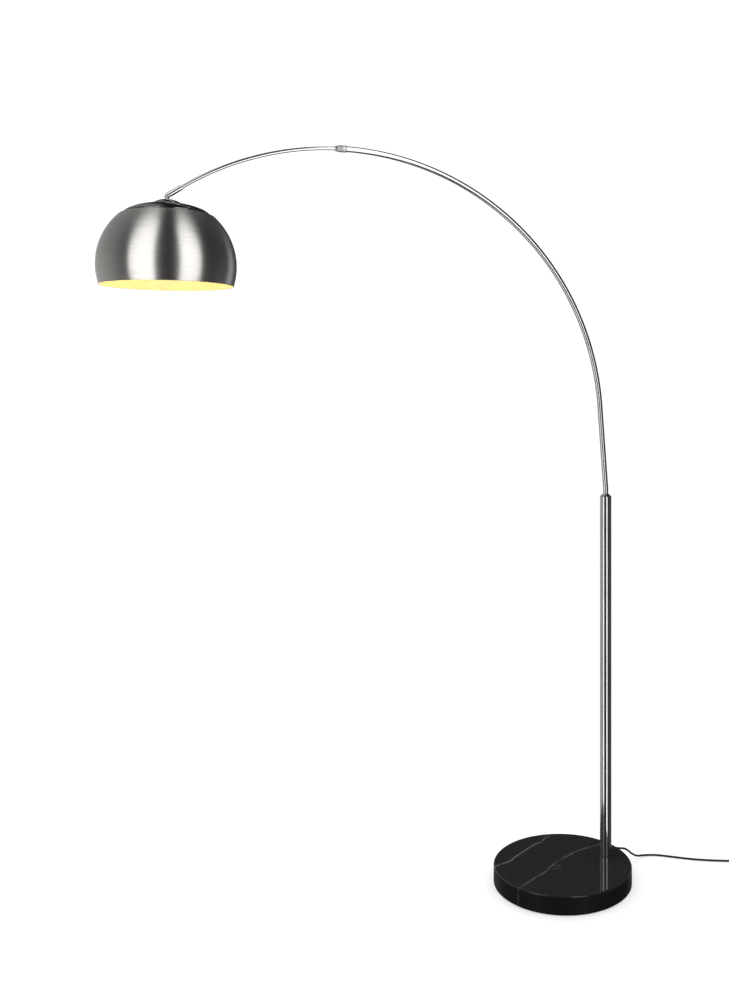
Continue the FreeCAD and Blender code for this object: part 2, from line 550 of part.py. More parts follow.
sw_out = prim("Cylinder", "sw_out", x=hx, z=1566.5, Radius=15, Height=1.6)
sw_in = prim("Cylinder", "sw_in", x=hx, z=1565.5, Radius=S.nipple_radius + 0.2, Height=4)
node(cut("sw_cut", sw_out, sw_in), "shade_washer")
nut_hex = prim("Prism", "nut_hex", x=hx, z=1561.5, Polygon=6, Circumradius=8.1, Height=5.0)
nut_in = prim("Cylinder", "nut_in", x=hx, z=1560.5, Radius=S.nipple_radius + S.slack, Height=8)
node(cut("nut_cut", nut_hex, nut_in), "shade_nut")

# Lampholder: domed upper cap on the nipple, body with a skirt, thin screw shell, centre contact.
turned("lampholder_cap", [
    (S.nipple_radius + S.slack, 24.0), (S.nipple_radius + S.slack, 29.0), (8.0, 29.0), (9.5, 28.0), (9.5, 25.6), (14.5, 23.0), (18.2, 18.5), (19.6, 12.0), (19.6, 0), (17.4, 0), (17.4, 12.0), (16.0, 17.6), (12.8, 21.6), (8.6, 24.0),
], x=hx, z=1528.0)
turned("lampholder_body", [
    (0, 31.0), (0, 27.0), (14.4, 27.0), (14.4, 0), (17.6, 0), (19.0, 1.2), (19.6, 3.0), (19.6, 33.9), (17.3, 33.9), (17.3, 37.5), (15.3, 37.5), (15.3, 31.0),
], x=hx, z=1494.0)
turned("screw_shell", [(13.55, 0), (14.0, 0), (14.0, 25.0), (6.5, 25.0), (6.5, 24.5), (13.55, 24.5)], x=hx, z=1495.5)
node(prim("Cylinder", "tip_contact", x=hx, z=1518.4, Radius=3.2, Height=2.55), "centre_contact")
node(prim("Cylinder", "head_lead", x=hx, z=1525.5, Radius=S.lead_radius, Height=54.0), "shade_wire")

# Lamp bulb, E27 cap, glass 60 across.
turned("bulb_glass", [
    (0, 0, "r"), ("arc", 0, 30.0, 30.0, 1), (29.0, 37.7, "z"), (26.4, 47.0), (21.0, 57.5), (16.6, 67.0), (14.6, 76.0), (14.2, 82.8), (12.9, 82.8),
    (13.3, 76.0), (15.4, 66.6), (19.9, 57.0), (25.2, 46.6), (27.9, 37.5, "z"), ("arc", 0, 30.0, 29.0, -1), (0, 1.0, "r"),
], x=hx, z=1411.0)
turned("bulb_cap", [(0, 0), (13.1, 0), (13.1, 19.5), (9.0, 22.2), (5.0, 22.9), (0, 22.9)], x=hx, z=1494.1)
node(prim("Cylinder", "bulb_tip", x=hx, z=1517.05, Radius=4.6, Height=1.3), "bulb_contact")

# ---------------------------------------------------------------- cord, switch and plug on the floor
# Local frame of the fittings: u runs out along the cord, v to its left.
EX, EY, HEAD = 430.0, -48.0, -28.0
ux, uy = math.cos(math.radians(HEAD)), math.sin(math.radians(HEAD))


def floor_at(u, v, z):
    return (EX + ux * u - uy * v, EY + uy * u + ux * v, z)


cr = S.cord_radius.n
ROUTE = [
    (tip_x, 0.0, 58.0), (160.0, 0.6, 55.8), (172.0, 4.0, 50.2), (186.0, 12.5, 37.0), (203.0, 25.5, 22.5), (222.0, 41.5, 9.5), (246.0, 55.0, 2.5),
    (275.0, 46.0, 2.5), (303.0, 26.5, 2.5), (332.0, 5.0, 2.5), (361.0, -13.5, 2.5), (390.0, -28.5, 2.5), (411.0, -38.2, 2.5), (428.0, -47.2, 3.2),
    floor_at(12.5, 0, 5.5), floor_at(25.0, 0, 5.5),
]
TAIL = [floor_at(61, 0, 5.5), floor_at(75, 0.3, 5.5), floor_at(89.3, 1.0, 3.0), floor_at(102.5, 1.8, 2.5)]
COIL_U, COIL_V = 116.0, -34.4
PLUG = [floor_at(102.6, COIL_V - 36.2, 7.3), floor_at(91.5, COIL_V - 37.0, 5.9), floor_at(80.5, COIL_V - 38.4, 5.9), floor_at(69.5, COIL_V - 39.2, 7.0)]
for label, points in (("mains_cord", ROUTE), ("switch_tail_cord", TAIL), ("plug_lead", PLUG)):
    edges, radii = corner_path(points)
    rod = swept(edges, cr)
    length = sum(e.Length for e in edges)
    print("%s: length %.1f, volume over section %.4f, radii %s" % (label, length, rod.Volume / (math.pi * cr * cr * length), [round(r) for r in radii]))
    feature(label, rod)

turn_f = Rotation(Vector(0, 0, 1), HEAD)
cx, cy, _ = floor_at(COIL_U, COIL_V, 0)
turned("cord_coil", [
    (S.coil_inner + 2, 0), (S.coil_outer - 2, 0), (S.coil_outer, 2), (S.coil_outer, S.coil_height - 3), (S.coil_outer - 3, S.coil_height),
    (S.coil_inner + 3, S.coil_height), (S.coil_inner, S.coil_height - 3), (S.coil_inner, 2),
], x=cx, y=cy)

# Foot switch: two shells that close on the cord, a sealed mechanism and a round push button.
sx, sy, _ = floor_at(42, 0, 0)
switch_centre = Vector(sx, sy, 0)


def switch_half(label, low, high, cavity_low, cavity_high, round_z, radius):
    body = doc.addObject("PartDesign::Body", label + "_body")
    outline = slot_sketch(body, label + "_outline", S.switch_half, S.switch_radius, low)
    block = pad(body, outline, dim(high) - dim(low))
    rounded(body, block, edges_at(block, dim(round_z).n), radius)
    room = slot_sketch(body, label + "_room", S.switch_half, S.switch_radius - 2.0, cavity_low)
    pocket(body, room, dim(cavity_high) - dim(cavity_low))
    return body


lower = switch_half("switch_lower", 0, S.switch_split, 2.0, S.switch_split + 1, 0, 1.5)
place(lower, sx, sy, 0, turn_f)
entry = prim("Cylinder", "entry_hole", x=sx - 40 * ux, y=sy - 40 * uy, z=5.5, rotation=Rotation(Vector(0, 0, 1), Vector(ux, uy, 0)), Radius=S.cord_radius + 0.15, Height=80)
screw_posts = []
for side in (-1, 1):
    spot = switch_centre + Vector(-uy * 9 * side, ux * 9 * side, 0) + Vector(ux * 13, uy * 13, 0)
    screw_posts.append(spot)
post_a = prim("Cylinder", "post_a", x=screw_posts[0].x, y=screw_posts[0].y, z=1.0, Radius=3.2, Height=7.9)
post_b = prim("Cylinder", "post_b", x=screw_posts[1].x, y=screw_posts[1].y, z=1.0, Radius=3.2, Height=7.9)
hole_a = prim("Cylinder", "hole_a", x=screw_posts[0].x, y=screw_posts[0].y, z=-1, Radius=1.5, Height=14)
hole_b = prim("Cylinder", "hole_b", x=screw_posts[1].x, y=screw_posts[1].y, z=-1, Radius=1.5, Height=14)
sink_a = prim("Cylinder", "sink_a", x=screw_posts[0].x, y=screw_posts[0].y, z=-1, Radius=2.7, Height=3.4)
sink_b = prim("Cylinder", "sink_b", x=screw_posts[1].x, y=screw_posts[1].y, z=-1, Radius=2.7, Height=3.4)
lower_all = fuse("lower_all", lower, post_a, post_b)
node(cut("lower_cut", lower_all, fuse("lower_holes", entry, hole_a, hole_b, sink_a, sink_b)), "foot_switch_lower")

upper = switch_half("switch_upper", S.switch_split, S.switch_top, S.switch_split - 1, S.switch_top - 2.0, S.switch_top, 5.0)
place(upper, sx, sy, 0, turn_f)
boss_a = prim("Cylinder", "boss_a", x=screw_posts[0].x, y=screw_posts[0].y, z=S.switch_split, Radius=3.0, Height=7.2)
boss_b = prim("Cylinder", "boss_b", x=screw_posts[1].x, y=screw_posts[1].y, z=S.switch_split, Radius=3.0, Height=7.2)
drill_a = prim("Cylinder", "drill_a", x=screw_posts[0].x, y=screw_posts[0].y, z=S.switch_split - 1, Radius=1.25, Height=5.2)
drill_b = prim("Cylinder", "drill_b", x=screw_posts[1].x, y=screw_posts[1].y, z=S.switch_split - 1, Radius=1.25, Height=5.2)
window = prim("Cylinder", "button_window", x=sx, y=sy, z=S.switch_top - 5, Radius=S.button_radius + S.free_gap, Height=8)
upper_all = fuse("upper_all", upper, boss_a, boss_b)
node(cut("upper_cut", upper_all, fuse("upper_holes", drill_a, drill_b, window)), "foot_switch_upper")

screws = []
for i, spot in enumerate(screw_posts):
    head_i = prim("Cylinder", "screw_head_%d" % i, x=spot.x, y=spot.y, z=0.6, Radius=2.5, Height=1.8)
    body_i = prim("Cylinder", "screw_body_%d" % i, x=spot.x, y=spot.y, z=2.0, Radius=1.2, Height=10.5)
    screws.append(fuse("screw_%d" % i, head_i, body_i))
screw_pair = doc.addObject("Part::Compound", "screw_pair")
screw_pair.Links = screws
node(screw_pair, "foot_switch_screws")

mech = prim("Box", "mech_block", x=-7, y=-6.5, z=0, Length=14, Width=13, Height=1)
mech.Height = 10.0
mech.Placement = Placement(Vector(sx, sy, 2.0), turn_f).multiply(Placement(Vector(-7, -6.5, 0), Rotation()))
node(mech, "foot_switch_mechanism")

turned("foot_switch_button", [
    (0, 0), (S.button_radius + 1.6, 0), (S.button_radius + 1.6, 1.0), (S.button_radius, 1.0), (S.button_radius, 6.6), (S.button_radius - 1.4, 7.8), (0, 8.2),
], x=sx, y=sy, z=14.7)

# Flat two-pin plug, lying on its side face, its tail tapered onto the lead.
wx, wy, _ = floor_at(69.5, COIL_V - 39.2, 0)
back = Rotation(Vector(0, 0, 1), HEAD + 180)
plug = doc.addObject("PartDesign::Body", "plug_core")
p_out = slot_sketch(plug, "plug_outline", 10.5, 6.5, 0)
block = pad(plug, p_out, 22.0)
doc.recompute()
rounded(plug, block, edges_at(block, 22.0) + edges_at(block, 0.0), 1.6)
side_turn = Rotation(Vector(0, 0, 1), Vector(-ux, -uy, 0))
fx = Vector(-uy, ux, 0)
flat = Rotation(FreeCAD.Matrix(fx.x, 0, -ux, 0, fx.y, 0, -uy, 0, 0, 1, 0, 0, 0, 0, 0, 1))
pc = Vector(wx, wy, 7.0)
along = Vector(-ux, -uy, 0)
plug.Placement = Placement(pc + along * 36.0, flat)
tail = prim("Cone", "plug_tail", x=pc.x - along.x * 5.4, y=pc.y - along.y * 5.4, z=pc.z, rotation=side_turn, Radius1=3.3, Radius2=5.6, Height=20.0)
node(fuse("plug_fuse", plug, tail), "plug_body")
pins = []
for i, side in enumerate((-1, 1)):
    spot = pc + along * 36.0 + fx * (side * S.plug_pin_gap.n / 2)
    rod = prim("Cylinder", "pin_long_%d" % i, x=spot.x, y=spot.y, z=spot.z, rotation=side_turn, Radius=S.plug_pin_radius, Height=17.5)
    end = prim("Cone", "pin_end_%d" % i, x=spot.x + along.x * 17.5, y=spot.y + along.y * 17.5, z=spot.z, rotation=side_turn, Radius1=S.plug_pin_radius, Radius2=1.2, Height=1.5)
    pins.append(fuse("pin_%d" % i, rod, end))
pin_pair = doc.addObject("Part::Compound", "pin_pair")
pin_pair.Links = pins
node(pin_pair, "plug_pins")

# ---------------------------------------------------------------- check and write
doc.recompute()
problems = []
for obj in doc.Objects:
    if any(state in ("Invalid", "Error") for state in obj.State):
        problems.append("%s: %s" % (obj.Name, obj.State))
labels = [obj.Label for obj in NODES]
if len(set(labels)) != len(labels):
    problems.append("two sub-parts share a label")
for obj in NODES:
    shape = obj.Shape
    if shape.isNull() or not shape.isValid() or not shape.Solids or shape.Volume <= 0:
        problems.append("%s: bad shape" % obj.Label)
stone_solid = math.pi * S.base_radius.n ** 2 * (S.base_top.n - S.pad_thick.n)
recess = math.pi * S.bolt_recess_radius.n ** 2 * (S.bolt_recess_top.n - S.pad_thick.n)
if stone.Shape.Volume > stone_solid - recess:
    problems.append("the recess under the pole was not cut")
if problems:
    raise SystemExit("not written:\n" + "\n".join(problems))
os.makedirs("parts", exist_ok=True)
for obj in NODES:
    obj.Shape.exportStep("parts/%s.step" % obj.Label)
print("%d sub-parts, %d solids" % (len(NODES), sum(len(o.Shape.Solids) for o in NODES)))
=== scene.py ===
import json
import math

import bmesh
import bpy
from mathutils import Matrix, Vector


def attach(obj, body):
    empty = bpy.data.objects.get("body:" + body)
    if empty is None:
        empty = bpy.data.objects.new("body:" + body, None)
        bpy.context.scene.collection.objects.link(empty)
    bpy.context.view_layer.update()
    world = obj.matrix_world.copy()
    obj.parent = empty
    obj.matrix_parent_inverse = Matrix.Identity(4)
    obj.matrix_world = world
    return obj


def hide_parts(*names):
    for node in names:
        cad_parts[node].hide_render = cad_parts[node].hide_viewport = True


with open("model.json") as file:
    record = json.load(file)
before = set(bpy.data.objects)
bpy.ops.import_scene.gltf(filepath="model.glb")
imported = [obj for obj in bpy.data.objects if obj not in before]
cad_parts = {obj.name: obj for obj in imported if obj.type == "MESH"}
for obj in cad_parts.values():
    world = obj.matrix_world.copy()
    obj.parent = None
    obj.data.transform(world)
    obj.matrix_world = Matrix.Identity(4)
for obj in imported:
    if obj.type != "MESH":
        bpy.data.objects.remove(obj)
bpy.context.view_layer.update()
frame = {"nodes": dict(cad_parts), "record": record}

NODES = frame["nodes"]
scene = bpy.context.scene
scene.view_settings.view_transform = "Standard"
scene.view_settings.look = "None"
for name in ("Camera", "Light", "Cube"):
    if name in bpy.data.objects and name not in NODES:
        bpy.data.objects.remove(bpy.data.objects[name])

# ------------------------------------------------------------------ camera
cam_data = bpy.data.cameras.new("camera")
cam_data.sensor_width = 36.0
cam_data.lens = 38.12
cam_data.shift_x = -0.1355
cam_data.shift_y = -0.123
cam_data.clip_end = 60.0
camera = bpy.data.objects.new("camera", cam_data)
camera.location = (-1.0073, -2.3300, 1.2078)
camera.rotation_euler = (math.radians(90), 0, math.radians(-20))
scene.collection.objects.link(camera)
scene.camera = camera

# ------------------------------------------------------------------ the object's own lines, in metres
POLE_X = 0.114
ARC_X, ARC_Z, ARC_R = -0.5255, 1.0885, 0.626
HEAD_X = -0.9035
PIVOT = Vector((HEAD_X, 0.0, 1.5887))
EX, EY, HEAD = 0.430, -0.048, -28.0
ux, uy = math.cos(math.radians(HEAD)), math.sin(math.radians(HEAD))


def floor_at(u, v, z):
    """Metres, in the frame of the fittings on the floor: u runs out along the cord, v to its left."""
    return (EX + (ux * u - uy * v) / 1000, EY + (uy * u + ux * v) / 1000, z / 1000)


def on_arc(gamma, radius=ARC_R):
    t = math.radians(gamma)
    return Vector((ARC_X - radius * math.sin(t), 0, ARC_Z + radius * math.cos(t)))


# ------------------------------------------------------------------ mesh helpers
def make_object(name, bm, body, materials, smooth_angle=38.0, stands_for=()):
    bmesh.ops.remove_doubles(bm, verts=bm.verts, dist=1e-7)
    bmesh.ops.recalc_face_normals(bm, faces=bm.faces)
    for f in bm.faces:
        f.smooth = True
    limit = math.radians(smooth_angle)
    for e in bm.edges:
        if len(e.link_faces) == 2 and e.calc_face_angle(0) > limit:
            e.smooth = False
    mesh = bpy.data.meshes.new(name)
    bm.to_mesh(mesh)
    bm.free()
    obj = bpy.data.objects.new(name, mesh)
    scene.collection.objects.link(obj)
    for m in materials:
        mesh.materials.append(m)
    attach(obj, body)
    if stands_for:
        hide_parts(*stands_for)
    return obj


def lathe(profile, steps=128, at=(0, 0, 0), axis=(0, 0, 1), closed=True, ripple=None, slots=None):
    """A turned solid. profile: (radius, height) in metres round its section; closed joins the last to the first.
    ripple(i, angle) adds to a ring's radius; slots gives each profile run's material index."""
    bm = bmesh.new()
    turn = Vector((0, 0, 1)).rotation_difference(Vector(axis).normalized()).to_matrix()
    rings = []
    for i, (r, h) in enumerate(profile):
        if r < 1e-7:
            v = bm.verts.new(Vector(at) + turn @ Vector((0, 0, h)))
            rings.append([v] * steps)
            continue
        ring = []
        for k in range(steps):
            a = 2 * math.pi * k / steps
            rr = r + (ripple(i, a) if ripple else 0.0)
            ring.append(bm.verts.new(Vector(at) + turn @ Vector((rr * math.cos(a), rr * math.sin(a), h))))
        rings.append(ring)
    count = len(rings)
    for i in range(count if closed else count - 1):
        j = (i + 1) % count
        for k in range(steps):
            m = (k + 1) % steps
            corners = []
            for v in (rings[i][k], rings[i][m], rings[j][m], rings[j][k]):
                if v not in corners:
                    corners.append(v)
            if len(corners) < 3:
                continue
            try:
                face = bm.faces.new(corners)
            except ValueError:
                continue
            if slots:
                face.material_index = slots[i]
    return bm


def arc_points(cr, cz, radius, a0, a1, count):
    """Points of an arc in a section, angles in degrees from +r toward +z."""
    out = []
    for k in range(count + 1):
        a = math.radians(a0 + (a1 - a0) * k / count)
        out.append((cr + radius * math.cos(a), cz + radius * math.sin(a)))
    return out


def soften(profile, radius=0.0004, steps=3, skip=()):
    """Rounds the corners of a closed section by a small radius."""
    out, n = [], len(profile)
    for i, p in enumerate(profile):
        a, b, c = Vector(profile[i - 1]), Vector(p), Vector(profile[(i + 1) % n])
        if i in skip or b.x < 1e-6:
            out.append(tuple(b))
            continue
        la, lc = (a - b).length, (c - b).length
        if la < 1e-9 or lc < 1e-9:
            out.append(tuple(b))
            continue
        t = min(radius, 0.42 * la, 0.42 * lc)
        p0, p2 = b + (a - b) / la * t, b + (c - b) / lc * t
        if (p0 - b).normalized().dot((b - p2).normalized()) < -0.995 or t < 2e-5:
            out.append(tuple(b))
            continue
        for k in range(steps + 1):
            s = k / steps
            q = p0 * (1 - s) ** 2 + b * 2 * s * (1 - s) + p2 * s ** 2
            out.append(tuple(q))
    return out


def sweep(path, section, ring=64):
    """A tube or rod along a planar path in XZ. path: (point, tangent) pairs. section: (start radius list) outer and inner."""
    outer, inner = section
    bm = bmesh.new()
    side = Vector((0, 1, 0))
    shells = []
    for radius in (outer, inner):
        if radius is None:
            shells.append(None)
            continue
        rings = []
        for p, t in path:
            up = t.cross(side).normalized()
            rings.append([bm.verts.new(p + (side * math.cos(2 * math.pi * k / ring) + up * math.sin(2 * math.pi * k / ring)) * radius) for k in range(ring)])
        for a, b in zip(rings, rings[1:]):
            for k in range(ring):
                m = (k + 1) % ring
                bm.faces.new((a[k], a[m], b[m], b[k]))
        shells.append(rings)
    out, inn = shells
    for end in (0, -1):
        if inn is None:
            bm.faces.new(out[end])
        else:
            for k in range(ring):
                m = (k + 1) % ring
                bm.faces.new((out[end][k], out[end][m], inn[end][m], inn[end][k]))
    return bm


# ------------------------------------------------------------------ material helpers
class Nodes:
    """Short calls for building one material's node tree."""

    def __init__(self, name):
        self.mat = bpy.data.materials.new(name)
        self.mat.use_nodes = True
        self.tree = self.mat.node_tree
        self.tree.nodes.clear()
        self.out = self.add("ShaderNodeOutputMaterial")
        self.bsdf = self.add("ShaderNodeBsdfPrincipled")
        self.link(self.bsdf.outputs[0], self.out.inputs["Surface"])
        self.coords = self.add("ShaderNodeTexCoord").outputs["Object"]

    def add(self, kind, **values):
        n = self.tree.nodes.new(kind)
        for k, v in values.items():
            setattr(n, k, v)
        return n

    def link(self, a, b):
        self.tree.links.new(a, b)

    def set(self, **values):
        for k, v in values.items():
            self.bsdf.inputs[k.replace("_", " ")].default_value = v

    def math(self, op, a, b=None, c=None, clamp=False):
        n = self.add("ShaderNodeMath", operation=op, use_clamp=clamp)
        for i, x in enumerate((a, b, c)):
            if x is None:
                continue
            if isinstance(x, (int, float)):
                n.inputs[i].default_value = x
            else:
                self.link(x, n.inputs[i])
        return n.outputs[0]

    def mapped(self, scale=(1, 1, 1), offset=(0, 0, 0)):
        m = self.add("ShaderNodeMapping")
        m.inputs["Scale"].default_value = scale
        m.inputs["Location"].default_value = offset
        self.link(self.coords, m.inputs["Vector"])
        return m.outputs[0]

    def noise(self, scale, detail=4.0, rough=0.55, vector=None, distortion=0.0):
        n = self.add("ShaderNodeTexNoise")
        n.inputs["Scale"].default_value = scale
        n.inputs["Detail"].default_value = detail
        n.inputs["Roughness"].default_value = rough
        n.inputs["Distortion"].default_value = distortion
        self.link(vector if vector is not None else self.coords, n.inputs["Vector"])
        return n.outputs["Fac"]

    def ramp(self, fac, stops):
        n = self.add("ShaderNodeValToRGB")
        while len(n.color_ramp.elements) < len(stops):
            n.color_ramp.elements.new(0.5)
        for e, (pos, col) in zip(n.color_ramp.elements, stops):
            e.position = pos
            e.color = (*col, 1.0) if len(col) == 3 else col
        self.link(fac, n.inputs[0])
        return n.outputs[0]

    def span(self, fac, a0, a1, b0, b1):
        n = self.add("ShaderNodeMapRange")
        for i, x in zip((1, 2, 3, 4), (a0, a1, b0, b1)):
            n.inputs[i].default_value = x
        self.link(fac, n.inputs[0])
        return n.outputs[0]

    def mix(self, fac, a, b):
        n = self.add("ShaderNodeMix", data_type="RGBA")
        self.link(fac, n.inputs[0])
        for sock, x in ((n.inputs[6], a), (n.inputs[7], b)):
            if isinstance(x, tuple):
                sock.default_value = (*x, 1.0)
            else:
                self.link(x, sock)
        return n.outputs[2]

    def bump(self, height, strength, distance, onto=None):
        n = self.add("ShaderNodeBump")
        n.inputs["Strength"].default_value = strength
        n.inputs["Distance"].default_value = distance
        self.link(height, n.inputs["Height"])
        if onto is not None:
            self.link(onto, n.inputs["Normal"])
        return n.outputs[0]

    def to(self, sock, name):
        self.link(sock, self.bsdf.inputs[name])


def metal(name, dark, light, rough, grain, streak=(1, 1, 1), bump=0.05, aniso=0.0):
    """Plated or bare metal: fine colour variation, uneven polish, faint handling marks."""
    n = Nodes(name)
    n.set(Metallic=1.0, IOR=2.4, Anisotropic=aniso)
    fine = n.noise(grain, 5.0, 0.6, n.mapped(streak))
    cloud = n.noise(9.0, 3.0, 0.5)
    n.to(n.ramp(cloud, [(0.3, dark), (0.7, light)]), "Base Color")
    smear = n.math("MULTIPLY_ADD", fine, 0.5, n.math("MULTIPLY", cloud, 0.5))
    n.to(n.span(smear, 0.3, 0.7, rough[0], rough[1]), "Roughness")
    n.to(n.bump(fine, bump, 0.00002), "Normal")
    return n.mat


def plastic(name, dark, light, rough, grain=900.0, bump=0.25, depth=0.00004, coat=0.0):
    n = Nodes(name)
    n.set(Metallic=0.0, IOR=1.5)
    n.bsdf.inputs["Coat Weight"].default_value = coat
    n.bsdf.inputs["Coat Roughness"].default_value = 0.06
    cloud = n.noise(30.0, 4.0, 0.6)
    fine = n.noise(grain, 3.0, 0.6)
    n.to(n.ramp(cloud, [(0.3, dark), (0.7, light)]), "Base Color")
    n.to(n.span(n.math("MULTIPLY_ADD", fine, 0.4, n.math("MULTIPLY", cloud, 0.6)), 0.3, 0.7, rough[0], rough[1]), "Roughness")
    n.to(n.bump(fine, bump, depth), "Normal")
    return n.mat


def brushed_shell(name, cx):
    """Spun metal sheet brushed round its axis: fine rings of scratches of uneven depth."""
    n = Nodes(name)
    n.set(Metallic=1.0, IOR=2.4, Anisotropic=0.92)
    n.bsdf.inputs["Anisotropic Rotation"].default_value = 0.25
    sep = n.add("ShaderNodeSeparateXYZ")
    n.link(n.coords, sep.inputs[0])
    dx = n.math("SUBTRACT", sep.outputs[0], cx)
    ang = n.math("ARCTAN2", sep.outputs[1], dx)
    far = n.math("SQRT", n.math("ADD", n.math("MULTIPLY", dx, dx), n.math("MULTIPLY", sep.outputs[1], sep.outputs[1])))
    comb = n.add("ShaderNodeCombineXYZ")
    n.link(n.math("MULTIPLY", n.math("SINE", ang), 0.004), comb.inputs[0])
    n.link(n.math("MULTIPLY", n.math("COSINE", ang), 0.004), comb.inputs[1])
    n.link(n.math("ADD", sep.outputs[2], n.math("MULTIPLY", far, 0.7)), comb.inputs[2])
    fine = n.noise(2600.0, 3.0, 0.7, comb.outputs[0])
    wide = n.noise(420.0, 3.0, 0.6, comb.outputs[0])
    cloud = n.noise(14.0, 3.0, 0.5)
    tone = n.math("MULTIPLY_ADD", fine, 0.5, n.math("MULTIPLY", wide, 0.5))
    n.to(n.ramp(tone, [(0.30, (0.56, 0.545, 0.52)), (0.52, (0.65, 0.635, 0.61)), (0.72, (0.72, 0.705, 0.68))]), "Base Color")
    n.to(n.span(n.math("MULTIPLY_ADD", tone, 0.7, n.math("MULTIPLY", cloud, 0.3)), 0.3, 0.7, 0.30, 0.38), "Roughness")
    n.to(n.bump(tone, 0.10, 0.00003), "Normal")
    tan = n.add("ShaderNodeTangent", direction_type="RADIAL", axis="Z")
    n.link(tan.outputs[0], n.bsdf.inputs["Tangent"])
    return n.mat


def enamel(name):
    """Cream-white sprayed enamel inside the shade, with a light orange-peel."""
    n = Nodes(name)
    n.set(Metallic=0.0, IOR=1.5)
    n.bsdf.inputs["Specular IOR Level"].default_value = 1.0
    peel = n.noise(420.0, 2.0, 0.5)
    cloud = n.noise(18.0, 3.0, 0.5)
    n.to(n.ramp(cloud, [(0.3, (0.80, 0.71, 0.40)), (0.7, (0.84, 0.75, 0.44))]), "Base Color")
    n.to(n.span(cloud, 0.3, 0.7, 0.22, 0.29), "Roughness")
    n.to(n.bump(peel, 0.25, 0.00006), "Normal")
    return n.mat


def marble(name, veins):
    """Polished black marble. veins: (x0, y0, x1, y1, [(along, across)...], width, strength) drawn as wandering pale lines."""
    n = Nodes(name)
    n.set(Metallic=0.0, IOR=1.52)
    sep = n.add("ShaderNodeSeparateXYZ")
    n.link(n.coords, sep.inputs[0])
    x, y = sep.outputs[0], sep.outputs[1]
    wander = n.math("SUBTRACT", n.noise(26.0, 5.0, 0.65), 0.5)
    crack = n.math("SUBTRACT", n.noise(150.0, 4.0, 0.7), 0.5)
    total = None
    for (x0, y0, x1, y1, wobble, width, strength) in veins:
        length = math.hypot(x1 - x0, y1 - y0)
        tx, ty = (x1 - x0) / length, (y1 - y0) / length
        along = n.math("ADD", n.math("MULTIPLY", n.math("SUBTRACT", x, x0), tx), n.math("MULTIPLY", n.math("SUBTRACT", y, y0), ty))
        across = n.math("SUBTRACT", n.math("MULTIPLY", n.math("SUBTRACT", y, y0), tx), n.math("MULTIPLY", n.math("SUBTRACT", x, x0), ty))
        share = n.math("DIVIDE", along, length)
        curve = n.add("ShaderNodeFloatCurve")
        line = curve.mapping.curves[0]
        line.points[0].location = (0.0, 0.5 + wobble[0] / 0.1)
        line.points[1].location = (1.0, 0.5 + wobble[-1] / 0.1)
        for k, w in enumerate(wobble[1:-1], start=1):
            line.points.new(k / (len(wobble) - 1), 0.5 + w / 0.1)
        curve.mapping.update()
        n.link(share, curve.inputs["Value"])
        bow = n.math("MULTIPLY", n.math("SUBTRACT", curve.outputs[0], 0.5), 0.1)
        off = n.math("SUBTRACT", across, bow)
        off = n.math("ADD", off, n.math("MULTIPLY_ADD", wander, 0.010, n.math("MULTIPLY", crack, 0.0034)))
        gap = n.math("ABSOLUTE", off)
        body = n.math("MULTIPLY", n.span(gap, width * 0.35, width, 1.0, 0.0), strength)
        haze = n.math("MULTIPLY", n.span(gap, 0.0, width * 7.0, 1.0, 0.0), strength * 0.10)
        ends = n.math("MULTIPLY", n.span(along, -0.004, 0.004, 0.0, 1.0), n.span(along, length - 0.004, length + 0.006, 1.0, 0.0))
        breaks = n.span(n.noise(40.0, 2.0, 0.5, n.mapped(offset=(0.3 + x0, 0.2, 0.1))), 0.32, 0.55, 0.25, 1.0)
        vein = n.math("MULTIPLY", n.math("MULTIPLY", n.math("MAXIMUM", body, haze), ends), breaks)
        total = vein if total is None else n.math("MAXIMUM", total, vein)
    # hair-fine natural cracks, faint, all over
    ridge = n.math("ABSOLUTE", n.math("SUBTRACT", n.noise(7.0, 6.0, 0.6, n.mapped((1.0, 1.6, 1.0), (2.3, 0.7, 0.4)), 1.1), 0.5))
    hair = n.math("MULTIPLY", n.span(ridge, 0.0, 0.004, 1.0, 0.0), n.span(n.noise(5.0, 2.0, 0.5), 0.5, 0.68, 0.0, 0.035))
    total = n.math("MAXIMUM", total, hair)
    grain = n.noise(60.0, 8.0, 0.75)
    ground = n.ramp(grain, [(0.30, (0.0125, 0.0125, 0.0135)), (0.60, (0.0170, 0.0170, 0.0182)), (0.80, (0.0225, 0.0225, 0.0238))])
    veined = n.mix(total, ground, (0.62, 0.60, 0.55))
    # the top is polished, the side is honed and mirrors less; the side's colour is also darkened toward black by its
    # normal, painted shade
    geo = n.add("ShaderNodeNewGeometry")
    up = n.add("ShaderNodeSeparateXYZ")
    n.link(geo.outputs["Normal"], up.inputs[0])
    n.to(n.mix(n.span(up.outputs[2], 0.1, 0.9, 0.62, 0.0), veined, (0.0, 0.0, 0.0)), "Base Color")
    n.to(n.span(up.outputs[2], 0.22, 0.45, 0.03, 0.5), "Specular IOR Level")
    smooth = n.span(n.math("ADD", n.math("MULTIPLY", grain, 0.5), total), 0.2, 1.2, 0.045, 0.16)
    n.to(n.math("ADD", smooth, n.span(up.outputs[2], 0.05, 0.40, 0.35, 0.0)), "Roughness")
    n.to(n.bump(n.noise(12.0, 2.0, 0.5), 0.05, 0.0002), "Normal")
    return n.mat


